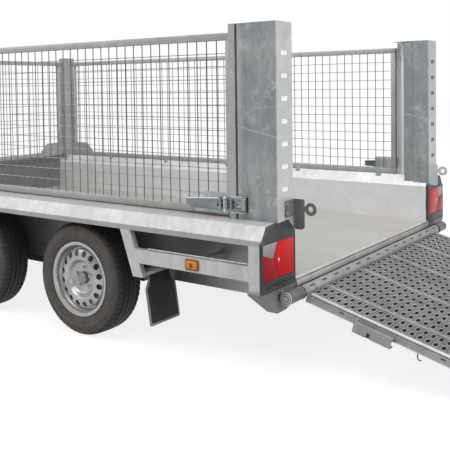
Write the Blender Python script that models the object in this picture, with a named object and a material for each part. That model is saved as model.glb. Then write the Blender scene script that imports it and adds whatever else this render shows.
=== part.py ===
"""Tandem axle equipment trailer with mesh sides and a loading ramp let down to the ground.

X points forward to the tow coupling, Y to the left and Z up, in metres.
Places along the trailer are written from its rear face, and the whole trailer is then
shifted so that the middle of its length is at X = 0.
"""

import math

import bmesh
import bpy
from mathutils import Matrix, Vector

for stale in list(bpy.data.objects):
    bpy.data.objects.remove(stale, do_unlink=True)

# Play between pieces that touch, how deep one joined shape reaches into the next,
# how far a cutter stands out of what it cuts, and the facets of round shapes
GAP = 0.0003
BITE = 0.002
CLEAR = 0.010
FINE_SIDES = 16
SIDES = 12
COARSE_SIDES = 8

# Load bed
BED_LENGTH = 3.66
BED_WIDTH = 1.80
FLOOR_HEIGHT = 0.445
FLOOR_BOARD = 0.018
SHEET = 0.003
BAY_COUNT = 6
BED_BOTTOM = 0.330

# Side beams: wall, chamfer, shoulder, slope and lip
WALL_TOP = 0.680
BEAM_TOP = 0.743
CHAMFER_WIDTH = 0.070
SHOULDER_WIDTH = 0.169
SHOULDER_DROP = 0.011
SLOPE_WIDTH = 0.041
SLOPE_FOOT = 0.669
LIP_BOTTOM = 0.643
FRONT_SHOULDER = 0.130
MITRE_LAP = 0.020

# Chassis below the floor
RAIL_FLANGE = 0.055
RAIL_SHEET = 0.004
CROSS_DEPTH = 0.060
CROSS_WIDTH = 0.050

# Tail: lamp plates, hinge brackets and the hinge rod
HINGE_X = -0.040
HINGE_Z = 0.390
TAIL_DEPTH = 0.018
TAIL_LAP = 0.017
TAIL_ABOVE_HINGE = 0.040
TAIL_INSET = 0.005
LAMP_ABOVE_TAIL = 0.055
LAMP_BELOW_SLOPE = 0.013
LAMP_BORDER = 0.010
LAMP_POCKET = 0.012
LAMP_PROUD = 0.002
LAMP_BEVEL = 0.004
BRACKET_PLATE = 0.005
BRACKET_DROP = 0.072
BRACKET_RISE = 0.027
BRACKET_KNEE = 0.010
BRACKET_WRAP = 0.088
BRACKET_FOOT_IN = 0.100
BRACKET_FOOT_OUT = 0.175
SLEEVE_OFFSET = 0.010
SLEEVE_RADIUS = 0.031
SLEEVE_WEB = 0.022
ROD_RADIUS = 0.023
ROD_WALL = 0.006
PIN_PLAY = 0.0008

# Posts and mesh panels
POST_STAND_OFF = 0.022
POST_WIDTH = 0.138
POST_DEPTH = 0.272
POST_TOP = 1.675
POST_SHEET = 0.003
POST_STEP = 0.006
POST_LIP = 0.026
POST_SLOT_COUNT = 7
POST_SLOT_LOW = 0.145
POST_SLOT_HIGH = 0.145
POST_SLOT_WIDTH = 0.058
POST_SLOT_HEIGHT = 0.024
FRONT_POST_BACK = 0.077
FRONT_POST_DEPTH = 0.083
FRONT_POST_STAND_OFF = 0.020
FRONT_POST_WIDTH = 0.120
GUSSET_REACH = 0.280
GUSSET_HEIGHT = 0.110
GUSSET_SLANT = 0.075
GUSSET_SHEET = 0.004
FOOT_RISE = 0.012
PANEL_SET_IN = 0.096
PANEL_BAR = 0.036
PANEL_DROP = 0.039
WIRE = 0.004
WIRE_PITCH = 0.0915
WIRE_LAYER_GAP = 0.0004

# Ramp, measured from the hinge: along it, and across it with the tread side positive
RAMP_LENGTH = 1.520
RAMP_SIDE_PLAY = 0.020
RAMP_TOP = -0.007
RAMP_BOTTOM = -0.055
RAMP_TIP_DEPTH = 0.0107
RAMP_SHEET = 0.004
RAMP_LIP = 0.012
RAMP_FLANGE = 0.040
RAMP_TUBE_RADIUS = 0.027
RAMP_TUBE_PLAY = 0.005
RAMP_BAR_COUNT = 4
RAMP_BAR = 0.050
PLANK_SHARES = (-0.5455, -0.1114, 0.3386, 0.7909)
PLANK_DEPTH = 0.036
PLANK_SHEET = 0.003
PLANK_START = 0.030
SEAM_WIDTH = 0.004
SEAM_DEPTH = 0.0015
GRIP_ROWS = 7
GRIP_WIDTH = 0.034
GRIP_BORDER = 0.024
LATCH_REACH = 0.400
LATCH_DROP = 0.054
LATCH_START = 0.285
LATCH_END = 0.475
LATCH_TOP = -0.034
LATCH_BOTTOM = -0.080
LATCH_SHEET = 0.003
LATCH_NOTCH = 0.355
LATCH_NOTCH_WIDTH = 0.016
BOLT_RADIUS = 0.016
EYE_PLATE = 0.006
EYE_DEPTH = 0.060
EYE_RADIUS = 0.031
EYE_HOLE = 0.0135

# Wheels and axles
WHEEL_RADIUS = 0.317
WHEEL_STAND_OFF = 0.1515
REAR_AXLE_X = 1.250
AXLE_SPACING = 0.940
WHEEL_SIDES = 16
RIM_RADIUS = 0.2085
RIM_HALF = 0.090
RIM_SHEET = 0.006
RIM_WELL = 0.165
RIM_WELL_HALF = 0.030
BEAD_DEPTH = 0.0155
DISC_RING = 0.107
DISC_FACE = 0.018
CAP_HEIGHT = 0.070
TYRE_HALF = 0.0975
TREAD_HALF = 0.070
VENT_COUNT = 16
VENT_CIRCLE = 0.143
VENT_RADIUS = 0.0135
AXLE_TUBE = 0.075
ARM_REACH = 0.170
ARM_WIDTH = 0.060
ARM_STAND_OFF = 0.008
ARM_THICKNESS = 0.027
DRUM_RADIUS = 0.115
HUB_RADIUS = 0.060
STUB_RADIUS = 0.028

# Under rails, flaps, side lamps and toggles
UNDER_RAIL_LOW = 0.166
UNDER_RAIL_HIGH = 0.094
UNDER_RAIL_DEPTH = 0.032
UNDER_POST_WIDTH = 0.070
STRUT_WIDTH = 0.067
STRUT_TOP_REACH = 0.427
STRUT_FOOT_REACH = 0.513
STRUT_FOOT = 0.405
FLAP_REACH = 0.485
FLAP_SHEET = 0.003
FLAP_THICKNESS = 0.006
FLAP_BORDER = 0.011
FLAP_BOTTOM = 0.145
MARKER_X = 0.375
MARKER_LENGTH = 0.082
MARKER_HEIGHT = 0.054
MARKER_STAND_OFF = 0.012
TOGGLE_SET_BACK = 0.006
TOGGLE_HANDLE = 0.260
TOGGLE_RISE = 0.053
LOOP_LENGTH = 0.092
LOOP_HALF = 0.016
LOOP_RADIUS = 0.0036

# Drawbar, coupling, hand brake and jockey wheel
TIP_REACH = 1.560
DRAWBAR_LAP = 0.710
DRAWBAR_SHORT = 0.420
DRAWBAR_BEAM = 0.050
DRAWBAR_DEPTH = 0.075
DRAWBAR_SET_IN = 0.030
DRAWBAR_END_Y = 0.055
TIE_LENGTH = 0.300
COUPLING_Z = 0.425
HEAD_LENGTH = 0.190
SOCKET_RADIUS = 0.0255
SHELL_RADIUS = 0.042
BARREL_RADIUS = 0.042
BELLOWS_COUNT = 5
JOCKEY_BACK = 0.600
JOCKEY_STAND_OFF = 0.042
JOCKEY_TOP = 0.700
JOCKEY_RADIUS = 0.100
JOCKEY_WIDTH = 0.050
JOCKEY_TRAIL = 0.045
FORK_RISE = 0.024

# Worked out from the sizes above
HALF = BED_WIDTH / 2
CHAMFER_Y = HALF + CHAMFER_WIDTH
SHOULDER_Y = CHAMFER_Y + SHOULDER_WIDTH
BEAM_OUT = SHOULDER_Y + SLOPE_WIDTH
FRONT_EDGE = BED_LENGTH + CHAMFER_WIDTH + FRONT_SHOULDER
FLOOR_UNDER = FLOOR_HEIGHT - FLOOR_BOARD
TAIL_OUT = BEAM_OUT + TAIL_LAP
TAIL_BOTTOM = HINGE_Z + TAIL_ABOVE_HINGE
LAMP_BOTTOM = TAIL_BOTTOM + LAMP_ABOVE_TAIL
LAMP_TOP = SLOPE_FOOT - LAMP_BELOW_SLOPE
BRACKET_FOOT = HINGE_Z - BRACKET_DROP
POST_INNER = HALF + POST_STAND_OFF
POST_OUTER = POST_INNER + POST_WIDTH
SLEEVE_INNER_END = POST_INNER + SLEEVE_OFFSET
HINGE_REACH = POST_OUTER
FRONT_POST_X = BED_LENGTH - FRONT_POST_BACK
FRONT_POST_FACE = FRONT_POST_X + FRONT_POST_DEPTH
FRONT_POST_INNER = HALF + FRONT_POST_STAND_OFF
FRONT_POST_OUTER = FRONT_POST_INNER + FRONT_POST_WIDTH
PANEL_CENTRE = POST_INNER + PANEL_SET_IN
PANEL_INNER = PANEL_CENTRE - PANEL_BAR / 2
PANEL_TOP = POST_TOP - PANEL_DROP
PANEL_BOTTOM = BEAM_TOP - 0.0005
RAMP_HALF = HALF - RAMP_SIDE_PLAY
RAMP_TUBE_END = SLEEVE_INNER_END - RAMP_TUBE_PLAY
PLANK_BORDERS = [share * RAMP_HALF for share in PLANK_SHARES]
PLANK_EDGE = RAMP_HALF - RAMP_LIP - GAP
LATCH_OUT = POST_INNER - EYE_PLATE - 0.005
TIP_LOW = RAMP_TOP - RAMP_TIP_DEPTH
RAMP_ANGLE = (math.asin(HINGE_Z / math.hypot(RAMP_LENGTH, TIP_LOW))
              - math.atan2(-TIP_LOW, RAMP_LENGTH))
RAMP_END_X = HINGE_X - RAMP_LENGTH * math.cos(RAMP_ANGLE) - RAMP_TOP * math.sin(RAMP_ANGLE)
WHEEL_Y = HALF + WHEEL_STAND_OFF
ARM_INNER = HALF + ARM_STAND_OFF
FRONT_AXLE_X = REAR_AXLE_X + AXLE_SPACING
TIP_X = BED_LENGTH + TIP_REACH
DRAWBAR_START_X = BED_LENGTH - DRAWBAR_LAP
DRAWBAR_END_X = TIP_X - DRAWBAR_SHORT
DRAWBAR_SLOPE = (HALF - DRAWBAR_SET_IN - DRAWBAR_END_Y) / (DRAWBAR_END_X - DRAWBAR_START_X)
JOCKEY_X = TIP_X - JOCKEY_BACK
FORK_TOP = 2 * JOCKEY_RADIUS + FORK_RISE
REAR_X = -(RAMP_END_X + TIP_X) / 2

# Looks: colour, roughness, metallic
ZINC = ((0.56, 0.58, 0.58), 0.45, 0.75)
DARK_ZINC = ((0.30, 0.31, 0.31), 0.50, 0.70)
BRIGHT_ZINC = ((0.78, 0.78, 0.76), 0.25, 0.90)
FLOOR_GREY = ((0.55, 0.53, 0.50), 0.65, 0.10)
BLACK = ((0.02, 0.02, 0.02), 0.55, 0.0)
RUBBER = ((0.03, 0.028, 0.026), 0.80, 0.0)
SILVER = ((0.60, 0.61, 0.62), 0.35, 0.80)
RED_LENS = ((0.45, 0.01, 0.01), 0.15, 0.0)
AMBER_LENS = ((0.85, 0.28, 0.02), 0.15, 0.0)


def drawbar_side(x):
    """How far out the drawbar's outer face lies at a place along the trailer."""
    middle = DRAWBAR_END_Y + (DRAWBAR_END_X - x) * DRAWBAR_SLOPE
    return middle + DRAWBAR_BEAM / 2 * math.hypot(1, DRAWBAR_SLOPE)


JOCKEY_Y = -drawbar_side(JOCKEY_X) - JOCKEY_STAND_OFF


def mesh_from(bm):
    """Mesh of a finished bmesh, with its faces pointing out."""
    bmesh.ops.recalc_face_normals(bm, faces=bm.faces)
    mesh = bpy.data.meshes.new("shape")
    bm.to_mesh(mesh)
    bm.free()
    return mesh


def prism(outline, axis, low, high):
    """Solid of a flat outline drawn across an axis and run along it from low to high."""
    spot = {"x": lambda a, b, c: (c, a, b),
            "y": lambda a, b, c: (a, c, b),
            "z": lambda a, b, c: (a, b, c)}[axis]
    bm = bmesh.new()
    face = bm.faces.new([bm.verts.new(spot(a, b, low)) for a, b in outline])
    grown = bmesh.ops.extrude_face_region(bm, geom=[face])["geom"]
    ends = [item for item in grown if isinstance(item, bmesh.types.BMVert)]
    bmesh.ops.translate(bm, verts=ends, vec=spot(0, 0, high - low))
    return mesh_from(bm)


def box(x0, x1, y0, y1, z0, z1):
    """Plain block between two corners."""
    return prism([(x0, y0), (x1, y0), (x1, y1), (x0, y1)], "z", z0, z1)


def boxes(corners):
    """One mesh of several separate blocks, each given as for a box."""
    bm = bmesh.new()
    for x0, x1, y0, y1, z0, z1 in corners:
        size = Matrix.Diagonal((x1 - x0, y1 - y0, z1 - z0, 1))
        middle = Matrix.Translation(((x0 + x1) / 2, (y0 + y1) / 2, (z0 + z1) / 2))
        bmesh.ops.create_cube(bm, size=1, matrix=middle @ size)
    return mesh_from(bm)


def lengths(sections):
    """One mesh of several separate bars, each a flat outline of points and the run to its other end."""
    bm = bmesh.new()
    for points, run in sections:
        near = [bm.verts.new(point) for point in points]
        far = [bm.verts.new(Vector(point) + Vector(run)) for point in points]
        bm.faces.new(near)
        bm.faces.new(far)
        for k in range(len(near)):
            bm.faces.new([near[k - 1], near[k], far[k], far[k - 1]])
    return mesh_from(bm)


def strip(path, thickness):
    """Outline of a sheet folded along a path, its thickness on the right of the path."""
    edge = []
    last = len(path) - 1
    for i, point in enumerate(path):
        here = Vector(point)
        ahead = (Vector(path[min(i + 1, last)]) - here) if i < last else None
        behind = (here - Vector(path[i - 1])) if i > 0 else ahead
        ahead = ahead or behind
        first = Vector((behind.y, -behind.x)).normalized()
        second = Vector((ahead.y, -ahead.x)).normalized()
        mitre = (first + second).normalized()
        corner = here + mitre * (thickness / mitre.dot(first))
        edge.append((corner.x, corner.y))
    return list(path) + edge[::-1]


def clipped(a0, a1, b0, b1, cut):
    """Outline of a rectangle with its corners cut off."""
    return [(a0 + cut, b0), (a1 - cut, b0), (a1, b0 + cut), (a1, b1 - cut),
            (a1 - cut, b1), (a0 + cut, b1), (a0, b1 - cut), (a0, b0 + cut)]


def turned(profile, sides):
    """Solid of a closed profile of (radius, place along Y) turned about the Y axis."""
    bm = bmesh.new()
    rings = []
    for radius, along in profile:
        count = sides if radius > 0 else 1
        turns = [2 * math.pi * k / count for k in range(count)]
        rings.append([bm.verts.new((radius * math.sin(t), along, -radius * math.cos(t)))
                      for t in turns])
    for ring, after in zip(rings, rings[1:] + rings[:1]):
        if len(ring) == len(after) == 1:
            continue
        for k in range(sides):
            j = k + 1
            corners = [ring[k % len(ring)], ring[j % len(ring)],
                       after[j % len(after)], after[k % len(after)]]
            bm.faces.new(list(dict.fromkeys(corners)))
    return mesh_from(bm)


def placed(mesh, matrix):
    """The mesh moved by a matrix, with its faces still pointing out."""
    mesh.transform(matrix)
    if matrix.determinant() < 0:
        mesh.flip_normals()
    return mesh


def rod(start, end, radius, sides=COARSE_SIDES, bore=0):
    """Round bar or tube from one point to another."""
    line = Vector(end) - Vector(start)
    profile = [(bore, 0), (radius, 0), (radius, line.length), (bore, line.length)]
    turn = line.to_track_quat("Y", "Z").to_matrix().to_4x4()
    return placed(turned(profile, sides), Matrix.Translation(start) @ turn)


def mirrored(mesh):
    """Copy of a mesh for the other side of the trailer."""
    return placed(mesh.copy(), Matrix.Diagonal((1, -1, 1, 1)))


def combined(base, others, operation):
    """The base mesh joined with the others, or cut by them."""
    objects = []
    for mesh in (base, *others):
        shape = bpy.data.objects.new("shape", mesh)
        bpy.context.scene.collection.objects.link(shape)
        objects.append(shape)
    host = objects[0]
    for tool in objects[1:]:
        step = host.modifiers.new("step", "BOOLEAN")
        step.operation = operation
        step.solver = "EXACT"
        step.object = tool
    graph = bpy.context.evaluated_depsgraph_get()
    result = bpy.data.meshes.new_from_object(host.evaluated_get(graph), depsgraph=graph)
    for shape in objects:
        spent = shape.data
        bpy.data.objects.remove(shape, do_unlink=True)
        bpy.data.meshes.remove(spent)
    return result


def united(base, *others):
    """One solid of several that reach into each other."""
    return combined(base, others, "UNION")


def carved(base, *cutters):
    """The base with the cutters' shapes taken away."""
    return combined(base, cutters, "DIFFERENCE")


def carrier(name, place, parent=None, tilt=0):
    """Empty on a moving body's axis, which the body's pieces hang on."""
    empty = bpy.data.objects.new(name, None)
    bpy.context.scene.collection.objects.link(empty)
    empty.location = place
    empty.rotation_euler = (0, tilt, 0)
    empty.parent = parent
    return empty


def piece(name, mesh, holder, look, smooth=False):
    """Named object of one sub-part, with its own material, hung on its body's empty."""
    colour, roughness, metallic = look
    material = bpy.data.materials.new(name)
    material.use_nodes = True
    shader = material.node_tree.nodes["Principled BSDF"]
    shader.inputs["Base Color"].default_value = (*colour, 1)
    shader.inputs["Roughness"].default_value = roughness
    shader.inputs["Metallic"].default_value = metallic
    mesh.name = name
    mesh.materials.clear()
    mesh.materials.append(material)
    if smooth:
        mesh.shade_smooth()
        mesh.set_sharp_from_angle(angle=math.radians(35))
    thing = bpy.data.objects.new(name, mesh)
    bpy.context.scene.collection.objects.link(thing)
    thing.parent = holder
    return thing


def pair(name, mesh, holder, look, smooth=False):
    """A left piece and its mirror image on the right."""
    piece(name + "_right", mirrored(mesh), holder, look, smooth)
    piece(name + "_left", mesh, holder, look, smooth)


def bed_floor():
    """Floor board between the side walls."""
    return box(0, BED_LENGTH - GAP, -HALF + GAP, HALF - GAP, FLOOR_UNDER, FLOOR_HEIGHT)


def cross_member(x, depth):
    """Channel across the chassis, open forwards, below the floor."""
    top = FLOOR_UNDER - GAP - RAIL_SHEET / 2
    path = [(x + CROSS_WIDTH, top), (x, top), (x, top - depth), (x + CROSS_WIDTH, top - depth)]
    reach = HALF - GAP - RAIL_SHEET / 2
    return prism(strip(path, -RAIL_SHEET), "y", -reach, reach)


def chassis_frame():
    """Two channel rails tied by cross members, one at each end of each bay."""
    top = FLOOR_UNDER - GAP
    out = HALF - GAP
    path = [(out - RAIL_FLANGE, BED_BOTTOM), (out, BED_BOTTOM), (out, top), (out - RAIL_FLANGE, top)]
    rail = prism(strip(path, -RAIL_SHEET), "x", BITE, BED_LENGTH - BITE)
    span = BED_LENGTH - CROSS_WIDTH - 4 * BITE
    deep = top - BED_BOTTOM - RAIL_SHEET
    members = []
    for i in range(BAY_COUNT + 1):
        depth = deep if i in (0, BAY_COUNT) else CROSS_DEPTH
        members.append(cross_member(2 * BITE + span * i / BAY_COUNT, depth))
    return united(rail, mirrored(rail), *members)


def beam_path():
    """Section of a side beam: wall, chamfer, shoulder, slope and lip."""
    return [(HALF, BED_BOTTOM), (HALF, WALL_TOP), (CHAMFER_Y, BEAM_TOP),
            (SHOULDER_Y, BEAM_TOP - SHOULDER_DROP), (BEAM_OUT, SLOPE_FOOT), (BEAM_OUT, LIP_BOTTOM)]


def corner_region(shrink):
    """Plan outline of the front board's side of the mitre at a front corner."""
    inner = HALF - MITRE_LAP - shrink
    outer = CHAMFER_Y - shrink
    return [(BED_LENGTH - MITRE_LAP, inner), (BED_LENGTH + CHAMFER_WIDTH, outer),
            (FRONT_EDGE + CLEAR, outer)]


def side_beam():
    """Folded side wall and mudguard shoulder, mitred to the front board and closed in front."""
    beam = prism(strip(beam_path(), SHEET), "x", TAIL_DEPTH + GAP, FRONT_EDGE)
    corner = corner_region(0) + [(FRONT_EDGE + CLEAR, HALF - MITRE_LAP)]
    beam = carved(beam, prism(corner, "z", BED_BOTTOM - CLEAR, BEAM_TOP + CLEAR))
    inset = SHEET / 2
    cap = [(CHAMFER_Y + inset, LIP_BOTTOM + inset), (CHAMFER_Y + inset, BEAM_TOP - inset),
           (SHOULDER_Y - inset / 2, BEAM_TOP - SHOULDER_DROP - inset),
           (BEAM_OUT - inset, SLOPE_FOOT - inset / 2), (BEAM_OUT - inset, LIP_BOTTOM + inset)]
    plate = prism(cap, "x", FRONT_EDGE - SHEET, FRONT_EDGE - SHEET / 3)
    return united(beam, plate)


def front_board():
    """Front wall of the bed, folded like the sides."""
    path = [(BED_LENGTH, BED_BOTTOM), (BED_LENGTH, WALL_TOP), (BED_LENGTH + CHAMFER_WIDTH, BEAM_TOP),
            (FRONT_EDGE, BEAM_TOP), (FRONT_EDGE, LIP_BOTTOM)]
    board = prism(strip(path, SHEET), "y", -CHAMFER_Y, CHAMFER_Y)
    far = CHAMFER_Y + 5 * CLEAR
    corner = corner_region(GAP * math.sqrt(2)) + [(FRONT_EDGE + CLEAR, far), (BED_LENGTH - MITRE_LAP, far)]
    cutter = prism(corner, "z", BED_BOTTOM - CLEAR, BEAM_TOP + CLEAR)
    return carved(board, cutter, mirrored(cutter))


def beam_shape(low, high):
    """Filled section of a side beam with its play, to shape what stands on it."""
    top = [(y - GAP, z + GAP) for y, z in beam_path()[1:5]]
    outline = [(HALF - GAP, BED_BOTTOM), *top, (BEAM_OUT, BED_BOTTOM)]
    return prism(outline, "x", low, high)


def post_slots():
    """Cutters for the row of plain slots down a rear post's face."""
    middle = (POST_INNER + POST_OUTER) / 2
    low, high = BEAM_TOP + POST_SLOT_LOW, POST_TOP - POST_SLOT_HIGH
    half, rise = POST_SLOT_WIDTH / 2, POST_SLOT_HEIGHT / 2
    cutters = []
    for i in range(POST_SLOT_COUNT):
        z = low + (high - low) * i / (POST_SLOT_COUNT - 1)
        cutters.append(box(-CLEAR, CLEAR, middle - half, middle + half, z - rise, z + rise))
    return cutters


def rear_post():
    """Tall folded post with a slotted rear face, a groove that keeps the mesh panel's end, and a cap."""
    fold = 0.62 * POST_DEPTH
    groove = POST_DEPTH - 0.046
    groove_width = 0.010
    inner_fold = 0.41 * POST_DEPTH
    inner_end = 0.66 * POST_DEPTH
    near = POST_INNER + POST_STEP
    path = [(inner_end, POST_INNER + 0.033), (inner_end, near), (inner_fold + POST_STEP, near),
            (inner_fold, POST_INNER), (0, POST_INNER), (0, POST_OUTER), (fold, POST_OUTER),
            (fold + POST_STEP, POST_OUTER - POST_STEP), (groove, POST_OUTER - POST_STEP),
            (groove, POST_OUTER - POST_LIP), (groove + groove_width, POST_OUTER - POST_LIP),
            (groove + groove_width, POST_OUTER), (POST_DEPTH, POST_OUTER),
            (POST_DEPTH, POST_OUTER - POST_LIP)]
    shell = prism(strip(path, POST_SHEET), "z", WALL_TOP, POST_TOP)
    inset = POST_SHEET / 2
    cap = box(inset, POST_DEPTH - inset, POST_INNER + inset, POST_OUTER - POST_STEP - inset,
              POST_TOP - POST_SHEET, POST_TOP - POST_SHEET / 3)
    post = united(shell, cap)
    return carved(post, beam_shape(-CLEAR, POST_DEPTH + CLEAR), *post_slots())


def front_post():
    """Folded corner post, open forwards, with a cap and a gusset along each mesh panel."""
    path = [(FRONT_POST_FACE, FRONT_POST_INNER), (FRONT_POST_X, FRONT_POST_INNER),
            (FRONT_POST_X, FRONT_POST_OUTER), (FRONT_POST_FACE, FRONT_POST_OUTER)]
    shell = prism(strip(path, POST_SHEET), "z", WALL_TOP, POST_TOP)
    inset = POST_SHEET / 2
    cap = box(FRONT_POST_X + inset, FRONT_POST_FACE - inset, FRONT_POST_INNER + inset,
              FRONT_POST_OUTER - inset, POST_TOP - POST_SHEET, POST_TOP - POST_SHEET / 3)
    low = BEAM_TOP + FOOT_RISE
    high = low + GUSSET_HEIGHT

    def outline(root):
        tail = root - GUSSET_REACH
        return [(root, low), (root, high), (tail + GUSSET_SLANT, high), (tail, high - GUSSET_SLANT),
                (tail, low)]

    side_face = PANEL_INNER - GAP
    side_gusset = prism(outline(FRONT_POST_X + BITE), "y", side_face - GUSSET_SHEET, side_face)
    front_face = FRONT_POST_FACE - PANEL_BAR - GAP
    front_gusset = prism(outline(FRONT_POST_INNER + BITE), "x", front_face - GUSSET_SHEET, front_face)
    post = united(shell, cap, side_gusset, front_gusset)
    return carved(post, beam_shape(FRONT_POST_X - 2 * GUSSET_REACH, FRONT_POST_FACE + CLEAR))


def even_places(low, high, pitch):
    """Places between two edges, evenly spaced at about a pitch."""
    count = max(1, round((high - low) / pitch) - 1)
    return [low + (high - low) * (i + 1) / (count + 1) for i in range(count)]


def mesh_panel(low, high):
    """Square bar frame along X with welded wires in two layers, its middle at Y = 0."""
    half = PANEL_BAR / 2
    frame = carved(box(low, high, -half, half, PANEL_BOTTOM, PANEL_TOP),
                   box(low + PANEL_BAR, high - PANEL_BAR, -PANEL_BAR, PANEL_BAR,
                       PANEL_BOTTOM + PANEL_BAR, PANEL_TOP - PANEL_BAR))
    bite = PANEL_BAR / 4
    left, right = low + PANEL_BAR, high - PANEL_BAR
    foot, head = PANEL_BOTTOM + PANEL_BAR, PANEL_TOP - PANEL_BAR
    near = WIRE_LAYER_GAP / 2
    wires = []
    for x in even_places(left, right, WIRE_PITCH):
        base = foot - bite
        wires.append(([(x - WIRE / 2, near, base), (x + WIRE / 2, near, base), (x, near + WIRE, base)],
                      (0, 0, head - foot + 2 * bite)))
    for z in even_places(foot, head, WIRE_PITCH):
        base = left - bite
        wires.append(([(base, -near, z - WIRE / 2), (base, -near, z + WIRE / 2), (base, -near - WIRE, z)],
                      (right - left + 2 * bite, 0, 0)))
    return united(frame, lengths(wires))


def side_mesh():
    """Mesh panel between the posts of one side."""
    panel = mesh_panel(POST_DEPTH + GAP, FRONT_POST_X - GAP)
    return placed(panel, Matrix.Translation((0, PANEL_CENTRE, 0)))


def front_mesh():
    """Mesh panel between the front posts."""
    reach = FRONT_POST_INNER - GAP
    panel = mesh_panel(-reach, reach)
    panel.transform(Matrix.Translation((0, 0, BEAM_TOP + GAP - PANEL_BOTTOM)))
    turn = Matrix.Rotation(math.pi / 2, 4, "Z")
    x = FRONT_POST_FACE - PANEL_BAR / 2
    return placed(panel, Matrix.Translation((x, 0, 0)) @ turn)


def tail_plate():
    """Plate that closes the side beam at the rear, with a pocket for the lamp."""
    inner = HALF + TAIL_INSET
    outline = [(inner, TAIL_BOTTOM), (inner, WALL_TOP + TAIL_INSET), (CHAMFER_Y, BEAM_TOP),
               (SHOULDER_Y, BEAM_TOP - SHOULDER_DROP), (BEAM_OUT, SLOPE_FOOT),
               (TAIL_OUT, LAMP_TOP + SHEET), (TAIL_OUT, TAIL_BOTTOM)]
    plate = prism(outline, "x", 0, TAIL_DEPTH)
    pocket = box(-CLEAR, LAMP_POCKET, inner + LAMP_BORDER, TAIL_OUT + CLEAR, LAMP_BOTTOM, LAMP_TOP)
    return carved(plate, pocket)


def tail_lamp():
    """Rear lamp in the tail plate's pocket, its upper and lower edges bevelled."""
    low, high = LAMP_BOTTOM + GAP, LAMP_TOP - GAP
    outline = [(LAMP_POCKET - GAP, low), (0, low), (-LAMP_PROUD, low + LAMP_BEVEL),
               (-LAMP_PROUD, high - LAMP_BEVEL), (0, high), (LAMP_POCKET - GAP, high)]
    return prism(outline, "y", HALF + TAIL_INSET + LAMP_BORDER + GAP, TAIL_OUT)


def hinge_bracket():
    """Corner bracket below the lamp, with the sleeve that holds the hinge rod."""
    top = TAIL_BOTTOM - GAP
    inner = HALF + SHEET + GAP
    foot_out, foot_in = HALF + BRACKET_FOOT_OUT, HALF + BRACKET_FOOT_IN
    knee = top - BRACKET_KNEE
    rear = prism([(inner, top), (TAIL_OUT, top), (TAIL_OUT, knee), (foot_out, BRACKET_FOOT),
                  (foot_in, BRACKET_FOOT), (inner, BRACKET_FOOT + BRACKET_RISE)],
                 "x", 0, BRACKET_PLATE)
    wrap_path = [(TAIL_OUT, top - BITE), (TAIL_OUT, knee), (foot_out, BRACKET_FOOT),
                 (foot_in + CLEAR, BRACKET_FOOT)]
    wrap = prism(strip(wrap_path, BRACKET_PLATE), "x", BITE, BRACKET_WRAP)
    lean = 0.4 * BRACKET_WRAP
    beyond = BRACKET_WRAP + 3 * CLEAR
    slant = [(BRACKET_WRAP + BITE, top + CLEAR), (BRACKET_WRAP - lean, BRACKET_FOOT - CLEAR),
             (beyond, BRACKET_FOOT - CLEAR), (beyond, top + CLEAR)]
    wrap = carved(wrap, prism(slant, "y", foot_in - 5 * CLEAR, TAIL_OUT + 5 * CLEAR))
    web = box(HINGE_X + BRACKET_PLATE, BRACKET_PLATE / 2, SLEEVE_INNER_END + CLEAR, HINGE_REACH - CLEAR,
              HINGE_Z - SLEEVE_WEB, HINGE_Z + SLEEVE_WEB)
    sleeve = rod((HINGE_X, SLEEVE_INNER_END, HINGE_Z), (HINGE_X, HINGE_REACH, HINGE_Z),
                 SLEEVE_RADIUS, FINE_SIDES)
    hole = rod((HINGE_X, SLEEVE_INNER_END - CLEAR, HINGE_Z), (HINGE_X, HINGE_REACH + CLEAR, HINGE_Z),
               ROD_RADIUS + GAP, FINE_SIDES)
    return carved(united(rear, wrap, web, sleeve), hole)


def hinge_rod():
    """Tube that the ramp turns on, held at both ends by the bracket sleeves."""
    reach = HINGE_REACH - BITE
    return rod((HINGE_X, -reach, HINGE_Z), (HINGE_X, reach, HINGE_Z), ROD_RADIUS, FINE_SIDES,
               ROD_RADIUS - ROD_WALL)


def eye_plate():
    """Angle on the rear post's face with a ring that the ramp's bolt enters."""
    inner, outer = POST_INNER - EYE_PLATE, POST_INNER
    ring_x, ring_z = HINGE_X - LATCH_DROP, HINGE_Z + LATCH_REACH
    low, high = BEAM_TOP - 0.053, BEAM_TOP + 0.092
    cut = 0.012
    edge = [(-GAP, high), (-EYE_DEPTH + cut / 2, high), (-EYE_DEPTH, high - cut / 2),
            (-EYE_DEPTH, low + cut), (-EYE_DEPTH + cut, low), (-cut, low), (-GAP, low + cut)]
    plate = prism(edge, "y", inner, outer)
    skin = 0.0005
    ring = rod((ring_x, inner + skin, ring_z), (ring_x, outer - skin, ring_z), EYE_RADIUS, FINE_SIDES)
    neck = box(ring_x, BITE - EYE_DEPTH, inner + 2 * skin, outer - 2 * skin, ring_z - cut, ring_z + cut)
    flange = box(-EYE_PLATE - GAP, -2 * GAP, outer - BITE, outer + 0.078, BEAM_TOP + FOOT_RISE,
                 high - BITE)
    hole = rod((ring_x, inner - CLEAR, ring_z), (ring_x, outer + CLEAR, ring_z), EYE_HOLE,
               FINE_SIDES)
    return carved(united(plate, neck, ring, flange), hole)


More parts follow.
